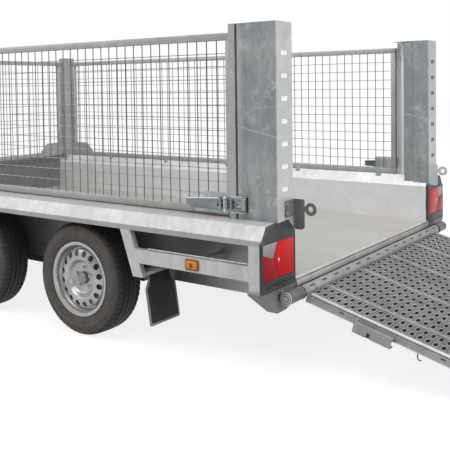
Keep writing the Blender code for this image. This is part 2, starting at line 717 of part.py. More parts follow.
def under_rail(corner, axle_x, towards):
    """Open side frame below the shoulder, between an end corner and the wheels."""
    rail_low, rail_high = LIP_BOTTOM - UNDER_RAIL_LOW, LIP_BOTTOM - UNDER_RAIL_HIGH
    strut_top = axle_x - towards * STRUT_TOP_REACH
    strut_foot = axle_x - towards * STRUT_FOOT_REACH
    out = BEAM_OUT
    lap = 0.001
    near = corner + towards * UNDER_POST_WIDTH / 2
    far = (strut_foot + strut_top + towards * STRUT_WIDTH) / 2
    inner = out - UNDER_RAIL_DEPTH
    path = [(inner, rail_low), (out, rail_low), (out, rail_high), (inner, rail_high)]
    rail = prism(strip(path, -SHEET), "x", min(near, far), max(near, far))
    post_end = corner + towards * UNDER_POST_WIDTH
    post = box(min(corner, post_end), max(corner, post_end), inner - BITE, out + lap,
               TAIL_BOTTOM + BITE, LIP_BOTTOM - GAP)
    lean = [(strut_top, LIP_BOTTOM - GAP), (strut_top + towards * STRUT_WIDTH, LIP_BOTTOM - GAP),
            (strut_foot + towards * STRUT_WIDTH, STRUT_FOOT), (strut_foot, STRUT_FOOT)]
    strut = prism(lean, "y", inner + lap, out + lap)
    wall = HALF + SHEET + GAP
    middle = (near + far) / 2
    arm_half = 0.020
    arm = box(middle - arm_half, middle + arm_half, wall, out - SHEET / 2, rail_low + 0.010,
              rail_high - 0.024)
    foot_near, foot_far = strut_foot + towards * 0.008, strut_foot + towards * 0.060
    foot = box(min(foot_near, foot_far), max(foot_near, foot_far), wall, out - CLEAR,
               STRUT_FOOT + BITE, STRUT_FOOT + FLOOR_BOARD + BITE)
    return united(rail, post, strut, arm, foot)


def mud_flap():
    """Rubber flap with a raised border behind the rear wheel, below the strut's foot."""
    x = REAR_AXLE_X - FLAP_REACH
    y0, y1 = HALF + MITRE_LAP, BEAM_OUT - UNDER_RAIL_DEPTH
    z0, z1 = FLAP_BOTTOM, STRUT_FOOT + BITE - GAP
    corner = 0.016
    border = carved(prism(clipped(y0, y1, z0, z1, corner), "x", x, x + FLAP_THICKNESS),
                    prism(clipped(y0 + FLAP_BORDER, y1 - FLAP_BORDER, z0 + FLAP_BORDER,
                                  z1 - FLAP_BORDER, corner - FLAP_BORDER / 2), "x", x - CLEAR,
                          x + FLAP_THICKNESS + CLEAR))
    lap = FLAP_BORDER / 2
    inset = (FLAP_THICKNESS - FLAP_SHEET) / 2
    sheet = box(x + inset, x + inset + FLAP_SHEET, y0 + lap, y1 - lap, z0 + lap, z1 - lap)
    return united(border, sheet)


def marker_lamp():
    """Amber side lamp on the rear rail: a base and a smaller lens."""
    middle = LIP_BOTTOM - (UNDER_RAIL_LOW + UNDER_RAIL_HIGH) / 2
    z0, z1 = middle - MARKER_HEIGHT / 2, middle + MARKER_HEIGHT / 2
    x0, x1 = MARKER_X, MARKER_X + MARKER_LENGTH
    near = BEAM_OUT + GAP
    step = MARKER_STAND_OFF / 2
    inset = 0.006
    base = prism(clipped(x0, x1, z0, z1, inset), "y", near, near + step)
    glass = prism(clipped(x0 + inset, x1 - inset, z0 + inset, z1 - inset, inset), "y",
                  near + step - BITE, near + MARKER_STAND_OFF)
    return united(base, glass)


def toggle_latch():
    """Toggle fastener from the mesh panel's bottom bar to the rear post."""
    face = PANEL_CENTRE + PANEL_BAR / 2 + GAP
    z = BEAM_TOP + TOGGLE_RISE
    x = POST_DEPTH + TOGGLE_SET_BACK
    loop_end = x - LOOP_LENGTH
    plate = 0.004
    base = box(x + 0.020, x + 0.202, face, face + plate, z - 0.045, z - 0.004)
    block = box(x + 0.022, x + 0.056, face + plate / 2, face + 0.014, z - 0.018, z + 0.016)
    head = [(x, z - 0.017), (x, z + 0.020), (x + 0.022, z + 0.026), (x + 0.067, z + 0.019)]
    grip = [(x + TOGGLE_HANDLE, z + 0.005), (x + TOGGLE_HANDLE, z - 0.007), (x + 0.067, z - 0.023),
            (x + 0.022, z - 0.026)]
    handle = prism(head + grip, "y", face + 0.012, face + 0.030)
    pin = rod((x + 0.010, face + 0.022, z - 0.032), (x + 0.010, face + 0.022, z + 0.034), 0.0045)
    y = POST_OUTER + 0.0065
    arms = [rod((loop_end, y, z + side * LOOP_HALF), (x + 0.012, y, z + side * LOOP_HALF), LOOP_RADIUS, 6)
            for side in (-1, 1)]
    reach = LOOP_HALF + 1.5 * LOOP_RADIUS
    cross = rod((loop_end, y, z - reach), (loop_end, y, z + reach), 1.2 * LOOP_RADIUS, 6)
    hook = [(POST_OUTER + GAP, z - 0.028), (POST_OUTER + 0.004, z - 0.028), (POST_OUTER + 0.014, z - 0.018),
            (POST_OUTER + 0.014, z + 0.018), (POST_OUTER + 0.004, z + 0.028), (POST_OUTER + GAP, z + 0.028)]
    catch = prism(hook, "x", loop_end - 0.040, loop_end - 0.001)
    return united(base, block, handle, pin, *arms, cross, catch)


def rim():
    """Steel wheel with a well, a dished disc with vents, a raised ring and a closed hub cap."""
    bore = STUB_RADIUS + PIN_PLAY
    seat = RIM_RADIUS - BEAD_DEPTH
    seat_y = RIM_HALF - 1.5 * RIM_SHEET
    inside = RIM_WELL - RIM_SHEET
    dish = 0.8 * DISC_RING
    cap_low = CAP_HEIGHT - CLEAR
    profile = [(RIM_RADIUS, RIM_HALF), (seat, seat_y), (RIM_WELL, RIM_WELL_HALF),
               (RIM_WELL, -RIM_WELL_HALF), (seat, -seat_y), (RIM_RADIUS, -RIM_HALF),
               (seat - RIM_SHEET, -RIM_HALF + RIM_SHEET), (inside, -RIM_WELL_HALF), (inside, 0.005),
               (DISC_RING, DISC_FACE + 0.014), (dish, DISC_FACE), (bore, DISC_FACE), (bore, cap_low),
               (0, cap_low), (0, CAP_HEIGHT), (0.030, CAP_HEIGHT - 0.004), (0.036, DISC_FACE + 0.010),
               (dish, DISC_FACE + 0.009), (DISC_RING, DISC_FACE + 0.022), (inside, DISC_FACE),
               (inside + BITE, RIM_WELL_HALF + RIM_SHEET), (seat - 1.5 * RIM_SHEET, RIM_HALF - CLEAR)]
    vents = []
    for k in range(VENT_COUNT):
        turn = 2 * math.pi * (k + 0.5) / VENT_COUNT
        vent = prism([(-VENT_RADIUS, 0), (0, -VENT_RADIUS), (VENT_RADIUS, 0), (0, VENT_RADIUS)],
                     "y", -RIM_WELL_HALF, CAP_HEIGHT)
        vent.transform(Matrix.Rotation(math.pi / 4, 4, "Y"))
        vent.transform(Matrix.Translation((0, 0, -VENT_CIRCLE)))
        vents.append(placed(vent, Matrix.Rotation(turn, 4, "Y")))
    return carved(turned(profile, WHEEL_SIDES), *vents)


def tyre():
    """Road tyre, filled down to the rim's bead seats."""
    r = WHEEL_RADIUS
    tall = r - RIM_RADIUS
    seat = RIM_RADIUS - BEAD_DEPTH + 2 * GAP
    side = [(seat, RIM_HALF - 1.5 * RIM_SHEET - 2 * GAP), (RIM_RADIUS + 0.001, RIM_HALF - RIM_SHEET),
            (RIM_RADIUS + 0.0065, RIM_HALF), (RIM_RADIUS + 0.43 * tall, TYRE_HALF),
            (RIM_RADIUS + 0.75 * tall, TYRE_HALF - 0.006), (r - 0.0025, TREAD_HALF),
            (r, TREAD_HALF - 0.025)]
    return turned(side + [(radius, -y) for radius, y in side[::-1]], WHEEL_SIDES)


def axle(x):
    """Torsion axle: square tube below the rails, trailing arms, drums, hubs and stub shafts."""
    tube_x = x + ARM_REACH
    high = BED_BOTTOM - GAP
    tube_z = high - AXLE_TUBE / 2
    outer = ARM_INNER + ARM_THICKNESS
    shapes = [box(tube_x - AXLE_TUBE / 2, tube_x + AXLE_TUBE / 2, -ARM_INNER - BITE,
                  ARM_INNER + BITE, high - AXLE_TUBE, high)]
    half = ARM_WIDTH / 2
    for side in (1, -1):
        inner_y, outer_y = sorted((side * ARM_INNER, side * outer))
        shapes.append(prism([(x - half, WHEEL_RADIUS - half), (tube_x + half, tube_z - half),
                             (tube_x + half, tube_z + half), (x - half, WHEEL_RADIUS + half)],
                            "y", inner_y, outer_y))
        disc_face = WHEEL_Y + DISC_FACE - GAP
        stub_end = WHEEL_Y + 0.055
        drum = [(0, outer - BITE), (DRUM_RADIUS, outer - BITE), (DRUM_RADIUS, WHEEL_Y - 0.008),
                (HUB_RADIUS, WHEEL_Y - 0.004), (HUB_RADIUS, disc_face), (STUB_RADIUS, disc_face),
                (STUB_RADIUS, stub_end), (0, stub_end)]
        hub = placed(turned(drum, SIDES), Matrix.Translation((x, 0, WHEEL_RADIUS)))
        shapes.append(hub if side > 0 else mirrored(hub))
    return united(*shapes)


def drawbar():
    """Two beams that meet in a V below the coupling, tied by a plate."""
    top = BED_BOTTOM - GAP
    start = Vector((DRAWBAR_START_X, HALF - DRAWBAR_SET_IN))
    end = Vector((DRAWBAR_END_X, DRAWBAR_END_Y))
    along = (end - start).normalized()
    across = Vector((-along.y, along.x)) * (DRAWBAR_BEAM / 2)
    corners = [start - across, end - across, end + across, start + across]
    beam = prism([(c.x, c.y) for c in corners], "z", top - DRAWBAR_DEPTH, top)
    tie_x = DRAWBAR_END_X - TIE_LENGTH
    tie_end = DRAWBAR_END_X - CLEAR
    reach = DRAWBAR_END_Y + TIE_LENGTH * DRAWBAR_SLOPE
    narrow = DRAWBAR_END_Y + BRACKET_PLATE
    tie = prism([(tie_x, -reach), (tie_end, -narrow), (tie_end, narrow), (tie_x, reach)],
                "z", top - 0.012, top - BITE)
    return united(beam, mirrored(beam), tie)


def overrun_tube():
    """Overrun housing on the drawbar: foot, cheeks, cylinder and bellows."""
    foot_z = BED_BOTTOM
    back, front = DRAWBAR_END_X - TIE_LENGTH, DRAWBAR_END_X - CLEAR
    half = DRAWBAR_END_Y + CLEAR
    plate = 0.012
    foot = box(back, front, -half, half, foot_z, foot_z + plate)
    cheek_y, cheek = half - FLOOR_BOARD - BITE, RAIL_SHEET
    inset = 0.015
    cheeks = [box(back + inset, front - inset, y - cheek, y + cheek, foot_z + plate - BITE,
                  COUPLING_Z + 0.020) for y in (-cheek_y, cheek_y)]
    end = TIP_X - HEAD_LENGTH
    barrel_end = DRAWBAR_END_X + 0.060
    neck = BARREL_RADIUS - 0.012
    start = back + 2 * inset
    profile = [(0, start), (BARREL_RADIUS, start), (BARREL_RADIUS, barrel_end), (neck, barrel_end + 0.005)]
    fold = (end - barrel_end - 0.020) / BELLOWS_COUNT
    for i in range(BELLOWS_COUNT):
        at = barrel_end + 0.010 + i * fold
        profile += [(neck, at), (neck + 0.010, at + fold / 3), (neck, at + 2 * fold / 3)]
    profile += [(neck, end), (0, end)]
    barrel = turned(profile, SIDES)
    lay = Matrix.Translation((0, 0, COUPLING_Z)) @ Matrix.Rotation(-math.pi / 2, 4, "Z")
    return united(foot, *cheeks, placed(barrel, lay))


def coupling_head():
    """Ball coupling: neck, socket shell open below, and grip."""
    start = TIP_X - HEAD_LENGTH + GAP
    z = COUPLING_Z
    neck = rod((start, 0, z), (TIP_X - 0.080, 0, z), 0.032, FINE_SIDES)
    ball_x = TIP_X - SHELL_RADIUS
    shell = rod((ball_x, 0, z - 0.030), (ball_x, 0, z + SHELL_RADIUS), SHELL_RADIUS, FINE_SIDES)
    grip_end = TIP_X - 0.050
    grip = prism([(start + 0.020, z + 0.022), (start + 0.020, z + 0.050), (start + 0.055, z + 0.085),
                  (grip_end, z + 0.095), (grip_end, z + 0.080), (start + 0.065, z + 0.070),
                  (start + 0.050, z + 0.022)], "y", -0.016, 0.016)
    socket = rod((ball_x, 0, z - 0.050), (ball_x, 0, z + 0.012), SOCKET_RADIUS, FINE_SIDES)
    return carved(united(neck, shell, grip), socket)


def handbrake_lever():
    """Hand brake lever beside the overrun housing, pulled up for parking."""
    y = DRAWBAR_END_Y + CLEAR - FLOOR_BOARD - BITE + RAIL_SHEET + GAP
    plate = 0.010
    x, z = DRAWBAR_END_X - 0.240, COUPLING_Z
    lever = prism([(x, z - 0.025), (x + 0.060, z - 0.045), (x + 0.080, z - 0.015), (x - 0.090, z + 0.355),
                   (x - 0.120, z + 0.345)], "y", y, y + plate)
    middle = y + plate / 2
    grip = rod((x - 0.104, middle, z + 0.335), (x - 0.155, middle, z + 0.455), 0.017, SIDES)
    return united(lever, grip)


def jockey_post():
    """Jockey wheel's tube in a clamp on the drawbar, with a crank on top."""
    top = BED_BOTTOM - BRACKET_PLATE
    x, y, head = JOCKEY_X, JOCKEY_Y, JOCKEY_TOP
    tube = rod((x, y, FORK_TOP + 0.020), (x, y, head), 0.024, SIDES)
    leg = rod((x, y, FORK_TOP), (x, y, head - CLEAR), 0.019, SIDES)
    back, front = x - 0.035, x + 0.035
    near = y - 0.032
    plan = [(back, -drawbar_side(back) - GAP), (front, -drawbar_side(front) - GAP), (front, near),
            (back, near)]
    clamp = prism(plan, "z", top - 0.065, top)
    crank = rod((x, y, head - CLEAR), (x, y, head + 0.035), 0.008)
    arm_z = head + 0.028
    arm = rod((x - 0.006, y, arm_z), (x + 0.120, y, arm_z), 0.007)
    knob = rod((x + 0.112, y, arm_z - 0.008), (x + 0.112, y, arm_z + 0.072), 0.012)
    return united(tube, leg, clamp, crank, arm, knob)


def jockey_fork():
    """Swivelling fork with the jockey wheel's pin, seen from its swivel axis at the floor."""
    top = FORK_TOP - GAP
    inner = JOCKEY_WIDTH / 2 + 0.006
    plate = 0.004
    crown = box(-JOCKEY_TRAIL - 0.020, 0.028, -inner - plate, inner + plate, top - 2 * plate, top)
    back, front = -JOCKEY_TRAIL - 0.018, -JOCKEY_TRAIL + 0.018
    foot = JOCKEY_RADIUS - 0.016
    legs = [prism([(back, top - BITE), (0.020, top - BITE), (front, foot), (back, foot)], "y", y, y + plate)
            for y in (-inner - plate, inner)]
    pin_end = inner + 2 * plate
    pin = rod((-JOCKEY_TRAIL, -pin_end, JOCKEY_RADIUS), (-JOCKEY_TRAIL, pin_end, JOCKEY_RADIUS), 0.008, SIDES)
    return united(crown, *legs, pin)


def jockey_wheel():
    """Solid rubber wheel with a bore for the fork's pin."""
    half = JOCKEY_WIDTH / 2
    r = JOCKEY_RADIUS
    side = [(0.0086, half), (0.030, half), (0.034, half - 0.010), (0.066, half - 0.010),
            (0.070, half - BITE), (r, half - 0.012)]
    return turned(side + [(radius, -y) for radius, y in side[::-1]], FINE_SIDES)


def ground_wedge(clear):
    """Cutter for what would reach below the floor at the ramp's tip, in the ramp's own axes."""
    wedge = box(-RAMP_LENGTH * 1.2, RAMP_LENGTH / 3, -BED_WIDTH, BED_WIDTH, -HALF, clear)
    turn = Matrix.Rotation(RAMP_ANGLE, 4, "Y")
    return placed(wedge, turn @ Matrix.Translation((0, 0, -HINGE_Z)))


def bolt_housings():
    """Notched channel below each side of the ramp, and the bolt's tube in it."""
    inner = RAMP_HALF - BITE
    path = [(inner, LATCH_TOP), (LATCH_OUT, LATCH_TOP), (LATCH_OUT, LATCH_BOTTOM), (inner, LATCH_BOTTOM)]
    channel = prism(strip(path, LATCH_SHEET), "x", -LATCH_END, -LATCH_START)
    notch = box(-LATCH_NOTCH - LATCH_NOTCH_WIDTH, -LATCH_NOTCH, LATCH_OUT - 2 * LATCH_SHEET,
                LATCH_OUT + CLEAR, LATCH_BOTTOM - CLEAR, -LATCH_DROP)
    channel = carved(channel, notch)
    skin = 0.0008
    tube = rod((-LATCH_REACH, inner, -LATCH_DROP), (-LATCH_REACH, LATCH_OUT + skin, -LATCH_DROP),
               BOLT_RADIUS, SIDES)
    return [channel, tube, mirrored(channel), mirrored(tube)]


def ramp_frame():
    """Hinge tube, side channels, cross bars and bolt housings of the ramp."""
    tube = rod((0, -RAMP_TUBE_END, 0), (0, RAMP_TUBE_END, 0), RAMP_TUBE_RADIUS, FINE_SIDES)
    path = [(RAMP_HALF - RAMP_FLANGE, RAMP_BOTTOM), (RAMP_HALF, RAMP_BOTTOM), (RAMP_HALF, RAMP_TOP),
            (RAMP_HALF - RAMP_LIP, RAMP_TOP)]
    channel = prism(strip(path, -RAMP_SHEET), "x", -RAMP_LENGTH, -RAMP_TUBE_RADIUS / 2)
    reach = RAMP_HALF - RAMP_SHEET / 2
    bar_top = RAMP_TOP - PLANK_DEPTH - GAP
    bars = []
    first = PLANK_START + RAMP_BAR
    spacing = (RAMP_LENGTH - first - 3 * RAMP_BAR) / (RAMP_BAR_COUNT - 1)
    for i in range(RAMP_BAR_COUNT):
        s = first + i * spacing
        bars.append(box(-s - RAMP_BAR / 2, -s + RAMP_BAR / 2, -reach, reach, RAMP_BOTTOM + 0.001, bar_top))
    tip = box(-RAMP_LENGTH + 0.001, -RAMP_LENGTH + 0.005, -reach, reach, RAMP_BOTTOM, RAMP_TOP - 0.001)
    frame = united(tube, channel, mirrored(channel), tip, *bars, *bolt_housings())
    bore = rod((0, -HALF - CLEAR * 5, 0), (0, HALF + CLEAR * 5, 0), ROD_RADIUS + PIN_PLAY, FINE_SIDES)
    return carved(frame, bore, ground_wedge(0))


def grip_slots():
    """Cutters for the rows of grip slots in the planks."""
    first, last = PLANK_START + GRIP_WIDTH + BITE, RAMP_LENGTH - 3 * GRIP_WIDTH
    bounds = [-PLANK_EDGE, *PLANK_BORDERS, PLANK_EDGE]
    corners = []
    for y0, y1 in zip(bounds, bounds[1:]):
        columns = 1 if y1 - y0 < HALF / 4 else 2
        wide = (y1 - y0 - GRIP_BORDER) / columns
        for column in range(columns):
            near = y0 + GRIP_BORDER / 2 + column * wide
            for row in range(GRIP_ROWS):
                s = first + (last - first) * row / (GRIP_ROWS - 1)
                corners.append((-s - GRIP_WIDTH / 2, -s + GRIP_WIDTH / 2, near + GRIP_BORDER / 2,
                                near + wide - GRIP_BORDER / 2, RAMP_TOP - 2 * PLANK_SHEET, RAMP_TOP + CLEAR))
    return boxes(corners)


def ramp_deck():
    """Five slotted tread planks side by side, with a seam between neighbours."""
    outline = [(-PLANK_EDGE, RAMP_TOP)]
    for y in PLANK_BORDERS:
        outline += [(y - SEAM_WIDTH / 2, RAMP_TOP), (y, RAMP_TOP - SEAM_DEPTH),
                    (y + SEAM_WIDTH / 2, RAMP_TOP)]
    outline.append((PLANK_EDGE, RAMP_TOP))
    low, roof = RAMP_TOP - PLANK_DEPTH, RAMP_TOP - PLANK_SHEET
    outline += [(PLANK_EDGE, low), (PLANK_EDGE - PLANK_SHEET, low), (PLANK_EDGE - PLANK_SHEET, roof)]
    for y in PLANK_BORDERS[::-1]:
        outline += [(y + PLANK_SHEET, roof), (y + PLANK_SHEET, low), (y - PLANK_SHEET, low),
                    (y - PLANK_SHEET, roof)]
    outline += [(-PLANK_EDGE + PLANK_SHEET, roof), (-PLANK_EDGE + PLANK_SHEET, low), (-PLANK_EDGE, low)]
    deck = prism(outline, "x", -RAMP_LENGTH + 0.005 + GAP, -PLANK_START)
    return carved(deck, grip_slots(), ground_wedge(0.001))


def build():
    """Make every piece on its body."""
    trailer = carrier("trailer_origin", (REAR_X, 0, 0))
    piece("bed_floor", bed_floor(), trailer, FLOOR_GREY)
    piece("chassis_frame", chassis_frame(), trailer, ZINC)
    pair("side_beam", side_beam(), trailer, ZINC)
    piece("front_board", front_board(), trailer, ZINC)
    pair("rear_post", rear_post(), trailer, ZINC)
    pair("front_post", front_post(), trailer, ZINC)
    pair("mesh", side_mesh(), trailer, ZINC)
    piece("mesh_front", front_mesh(), trailer, ZINC)
    pair("tail_plate", tail_plate(), trailer, BLACK)
    pair("tail_lamp", tail_lamp(), trailer, RED_LENS)
    pair("hinge_bracket", hinge_bracket(), trailer, DARK_ZINC)
    piece("hinge_rod", hinge_rod(), trailer, ZINC, smooth=True)
    pair("eye_plate", eye_plate(), trailer, DARK_ZINC)
    pair("under_rail_rear", under_rail(TAIL_DEPTH + GAP, REAR_AXLE_X, 1), trailer, ZINC)
    pair("under_rail_front", under_rail(FRONT_EDGE, FRONT_AXLE_X, -1), trailer, ZINC)
    pair("mud_flap", mud_flap(), trailer, BLACK)
    pair("marker_lamp", marker_lamp(), trailer, AMBER_LENS)
    pair("toggle_latch", toggle_latch(), trailer, BRIGHT_ZINC)
    piece("drawbar", drawbar(), trailer, ZINC)
    piece("overrun_tube", overrun_tube(), trailer, DARK_ZINC, smooth=True)
    piece("coupling_head", coupling_head(), trailer, ZINC, smooth=True)
    piece("handbrake_lever", handbrake_lever(), trailer, BLACK)
    piece("jockey_post", jockey_post(), trailer, ZINC, smooth=True)

    for end, x in (("rear", REAR_AXLE_X), ("front", FRONT_AXLE_X)):
        piece("axle_" + end, axle(x), trailer, ZINC)
        for side, sign in (("left", 1), ("right", -1)):
            spin = carrier(f"wheel_{end}_{side}_spin", (x, sign * WHEEL_Y, WHEEL_RADIUS), trailer)
            face, rubber = rim(), tyre()
            if sign < 0:
                face = placed(face, Matrix.Diagonal((1, -1, 1, 1)))
            piece(f"rim_{end}_{side}", face, spin, SILVER, smooth=True)
            piece(f"tyre_{end}_{side}", rubber, spin, RUBBER, smooth=True)

    swivel = carrier("jockey_swivel_axis", (JOCKEY_X, JOCKEY_Y, 0), trailer)
    piece("jockey_fork", jockey_fork(), swivel, ZINC)
    roller = carrier("jockey_wheel_spin_axis", (-JOCKEY_TRAIL, 0, JOCKEY_RADIUS), swivel)
    piece("jockey_wheel", jockey_wheel(), roller, RUBBER, smooth=True)

    hinge = carrier("ramp_hinge", (HINGE_X, 0, HINGE_Z), trailer, -RAMP_ANGLE)
    piece("ramp_frame", ramp_frame(), hinge, ZINC)
    piece("ramp_deck", ramp_deck(), hinge, ZINC)


build()
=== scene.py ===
"""Looks of the equipment trailer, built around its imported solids."""

from math import asin, atan2, cos, hypot, pi, radians, sin, tan

import bmesh
import bpy
from mathutils import Matrix, Vector


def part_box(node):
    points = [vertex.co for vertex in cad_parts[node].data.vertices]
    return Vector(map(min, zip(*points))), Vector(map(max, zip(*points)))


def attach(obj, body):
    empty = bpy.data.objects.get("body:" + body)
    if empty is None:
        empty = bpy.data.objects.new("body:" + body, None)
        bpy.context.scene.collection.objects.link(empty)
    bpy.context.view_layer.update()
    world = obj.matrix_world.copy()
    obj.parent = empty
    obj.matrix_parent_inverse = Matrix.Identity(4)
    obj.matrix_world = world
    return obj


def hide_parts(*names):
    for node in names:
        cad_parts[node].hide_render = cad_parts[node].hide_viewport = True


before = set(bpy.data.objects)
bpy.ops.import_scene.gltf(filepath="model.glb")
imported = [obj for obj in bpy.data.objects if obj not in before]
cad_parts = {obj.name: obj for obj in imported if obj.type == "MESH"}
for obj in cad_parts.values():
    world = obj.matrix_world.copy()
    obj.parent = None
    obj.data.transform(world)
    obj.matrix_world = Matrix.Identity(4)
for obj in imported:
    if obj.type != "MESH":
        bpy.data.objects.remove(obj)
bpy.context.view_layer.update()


def move(x, y, z):
    """Matrix that moves."""
    return Matrix.Translation((x, y, z))


def turn(angle, axis):
    """Matrix that turns about an axis."""
    return Matrix.Rotation(angle, 4, axis)


# Places in metres, as in the solids: X from the bed's rear face, Z from the ground
REAR_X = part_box("bed_floor")[0].x
HALF = 0.9
BED_LENGTH = 3.66
FLOOR_HEIGHT = 0.445
BED_BOTTOM = 0.33
CHAMFER_Y = 0.97
BEAM_OUT = 1.18
BEAM_TOP = 0.743
POST_DEPTH = 0.272
POST_OUTER = 1.06
FRONT_POST_X = 3.583
FRONT_POST_FACE = 3.666
FRONT_POST_INNER = 0.92
PANEL_CENTRE = 1.018
PANEL_BAR = 0.036
PANEL_TOP = 1.636
PANEL_BOTTOM = 0.7425
WIRE_PITCH = 0.061
WIRE_RADIUS = 0.0027
TAIL_OUT = 1.197
LAMP_BOTTOM = 0.485
LAMP_TOP = 0.656
HINGE_X = -0.04
HINGE_Z = 0.39
HINGE_REACH = 1.06
WHEEL_RADIUS = 0.317
WHEEL_Y = 1.0515
REAR_AXLE_X = 1.25
FRONT_AXLE_X = 2.19
COUPLING_Z = 0.425
GAP = 0.0003

# The ramp's own places, from the hinge's axis and square to its sheet
RAMP_LENGTH = 1.52
RAMP_HALF = 0.88
RAMP_TOP = -0.007
RAMP_LIP = 0.012
RAMP_TIP_DEPTH = 0.0107
TUBE_RADIUS = 0.027
PLANK_START = 0.03
PLANK_BORDERS = (-0.48, -0.098, 0.298, 0.696)

TIP_LOW = RAMP_TOP - RAMP_TIP_DEPTH
RAMP_ANGLE = (asin(HINGE_Z / hypot(RAMP_LENGTH, TIP_LOW))
              - atan2(-TIP_LOW, RAMP_LENGTH))
ON_TRAILER = move(REAR_X, 0, 0)
ON_RAMP = move(REAR_X + HINGE_X, 0, HINGE_Z) @ turn(-RAMP_ANGLE, "Y")


# Materials

class Nodes:
    """Short way to write the nodes of a material or a world."""

    def __init__(self, owner):
        owner.use_nodes = True
        self.owner = owner
        self.tree = owner.node_tree

    def join(self, socket, value):
        """Link an output to a socket, or write a plain value into it."""
        if isinstance(value, bpy.types.NodeSocket):
            self.tree.links.new(value, socket)
        else:
            socket.default_value = value

    def node(self, kind, inputs=None, **values):
        """New shader node of a kind, with its inputs and its own settings."""
        made = self.tree.nodes.new("ShaderNode" + kind)
        for key, value in values.items():
            setattr(made, key, value)
        for key, value in (inputs or {}).items():
            self.join(made.inputs[key], value)
        return made

    def set(self, **values):
        """Write or link the shader's own sockets."""
        for key, value in values.items():
            self.join(self.tree.nodes["Principled BSDF"].inputs[key.replace("_", " ")], value)

    def coords(self, scale=(1, 1, 1)):
        spot = self.node("TexCoord").outputs["Object"]
        return self.node("Mapping", {"Vector": spot, "Scale": scale}).outputs["Vector"]

    def axes(self):
        """The three coordinates as single values."""
        parts = self.node("SeparateXYZ", {"Vector": self.coords()}).outputs
        return parts["X"], parts["Y"], parts["Z"]

    def noise(self, spot, scale, detail=3, rough=0.5):
        return self.node("TexNoise", {"Vector": spot, "Scale": scale, "Detail": detail,
                                      "Roughness": rough}).outputs["Fac"]

    def cells(self, spot, scale, feature="F1", output="Color"):
        return self.node("TexVoronoi", {"Vector": spot, "Scale": scale},
                         feature=feature).outputs[output]

    def span(self, value, low, high, to_low=0.0, to_high=1.0):
        """Value as a share of the way from low to high, held at both ends."""
        return self.node("MapRange", {"Value": value, "From Min": low, "From Max": high,
                                      "To Min": to_low, "To Max": to_high}).outputs["Result"]

    def sum(self, operation, a, b=0.0):
        return self.node("Math", {0: a, 1: b}, operation=operation).outputs["Value"]

    def times(self, a, b):
        return self.sum("MULTIPLY", a, b)

    def plus(self, a, b):
        return self.sum("ADD", a, b)

    def mix(self, share, a, b):
        """Colour part of the way from one to another."""
        colours = {key: value if isinstance(value, bpy.types.NodeSocket) else (*value, 1)
                   for key, value in ((6, a), (7, b))}
        return self.node("Mix", {0: share, **colours}, data_type="RGBA").outputs[2]

    def layers(self, colour, *rows):
        """Colour with others over it, each with the place where it shows and how strongly."""
        for where, share, tint in rows:
            colour = self.mix(self.times(where, share), colour, tint)
        return colour

    def bump(self, height, strength, distance):
        made = self.node("Bump", {"Height": height, "Strength": strength, "Distance": distance})
        self.set(Normal=made.outputs["Normal"])


def new_look(name):
    """Nodes of a new material."""
    return Nodes(bpy.data.materials.new(name))


def grey(level, warm=0.0):
    """A grey with a touch of warmth or, below zero, of blue."""
    return (level * (1 + warm), level, level * (1 - warm))


def galvanised(name, level, contrast, warm=0.008, rough=(0.36, 0.6), metallic=0.55, flake=46,
               runs=0.5, flecks=0.25, places=None):
    """Hot dip zinc: crystals of slightly different greys, pale patches, runs and bright flecks."""
    n = new_look(name)
    spot = n.coords()
    swirl = n.node("TexNoise", {"Vector": spot, "Scale": 22.0, "Detail": 2.0})
    bent = n.node("VectorMath", {0: swirl.outputs["Color"], "Scale": 0.018},
                  operation="SCALE").outputs["Vector"]
    spot = n.node("VectorMath", {0: spot, 1: bent}, operation="ADD").outputs["Vector"]
    small = n.span(n.cells(spot, flake), 0, 1, -0.5, 0.5)
    large = n.span(n.cells(spot, flake * 0.32), 0, 1, -0.5, 0.5)
    cloud = n.span(n.noise(spot, 2.3, 6, 0.66), 0.3, 0.7, -0.5, 0.5)
    blotch = n.span(n.noise(spot, 7.5, 4, 0.6), 0.36, 0.64, -0.5, 0.5)
    run = n.span(n.noise(n.coords((9.0, 9.0, 1.8)), 3.4, 5, 0.65), 0.34, 0.66, -0.5, 0.5)
    flakes = n.plus(n.times(small, 0.55), n.times(large, 0.45))
    patches = n.plus(n.plus(n.times(cloud, 0.8), n.times(blotch, 0.5)), n.times(run, runs))
    shade = n.span(n.plus(n.times(flakes, 0.7), patches), -0.95, 0.95)
    colour = n.mix(shade, grey(level * (1 - contrast), warm - 0.03),
                   grey(level * (1 + contrast), warm))
    spots = n.times(n.span(n.noise(n.coords(), 34.0, 4, 0.7), 0.58, 0.7),
                    n.span(n.noise(n.coords(), 4.2, 3), 0.48, 0.6))
    colour = n.mix(n.times(spots, flecks), colour, grey(min(0.8, level * 2.1), warm))
    if places:
        colour = places(n, colour)
    n.set(Base_Color=colour, Metallic=metallic, Roughness=n.span(flakes, -0.5, 0.5, *rough))
    n.bump(n.plus(n.times(flakes, 0.5), n.noise(n.coords(), 160.0, 3)), 0.18, 0.0007)
    return n.owner


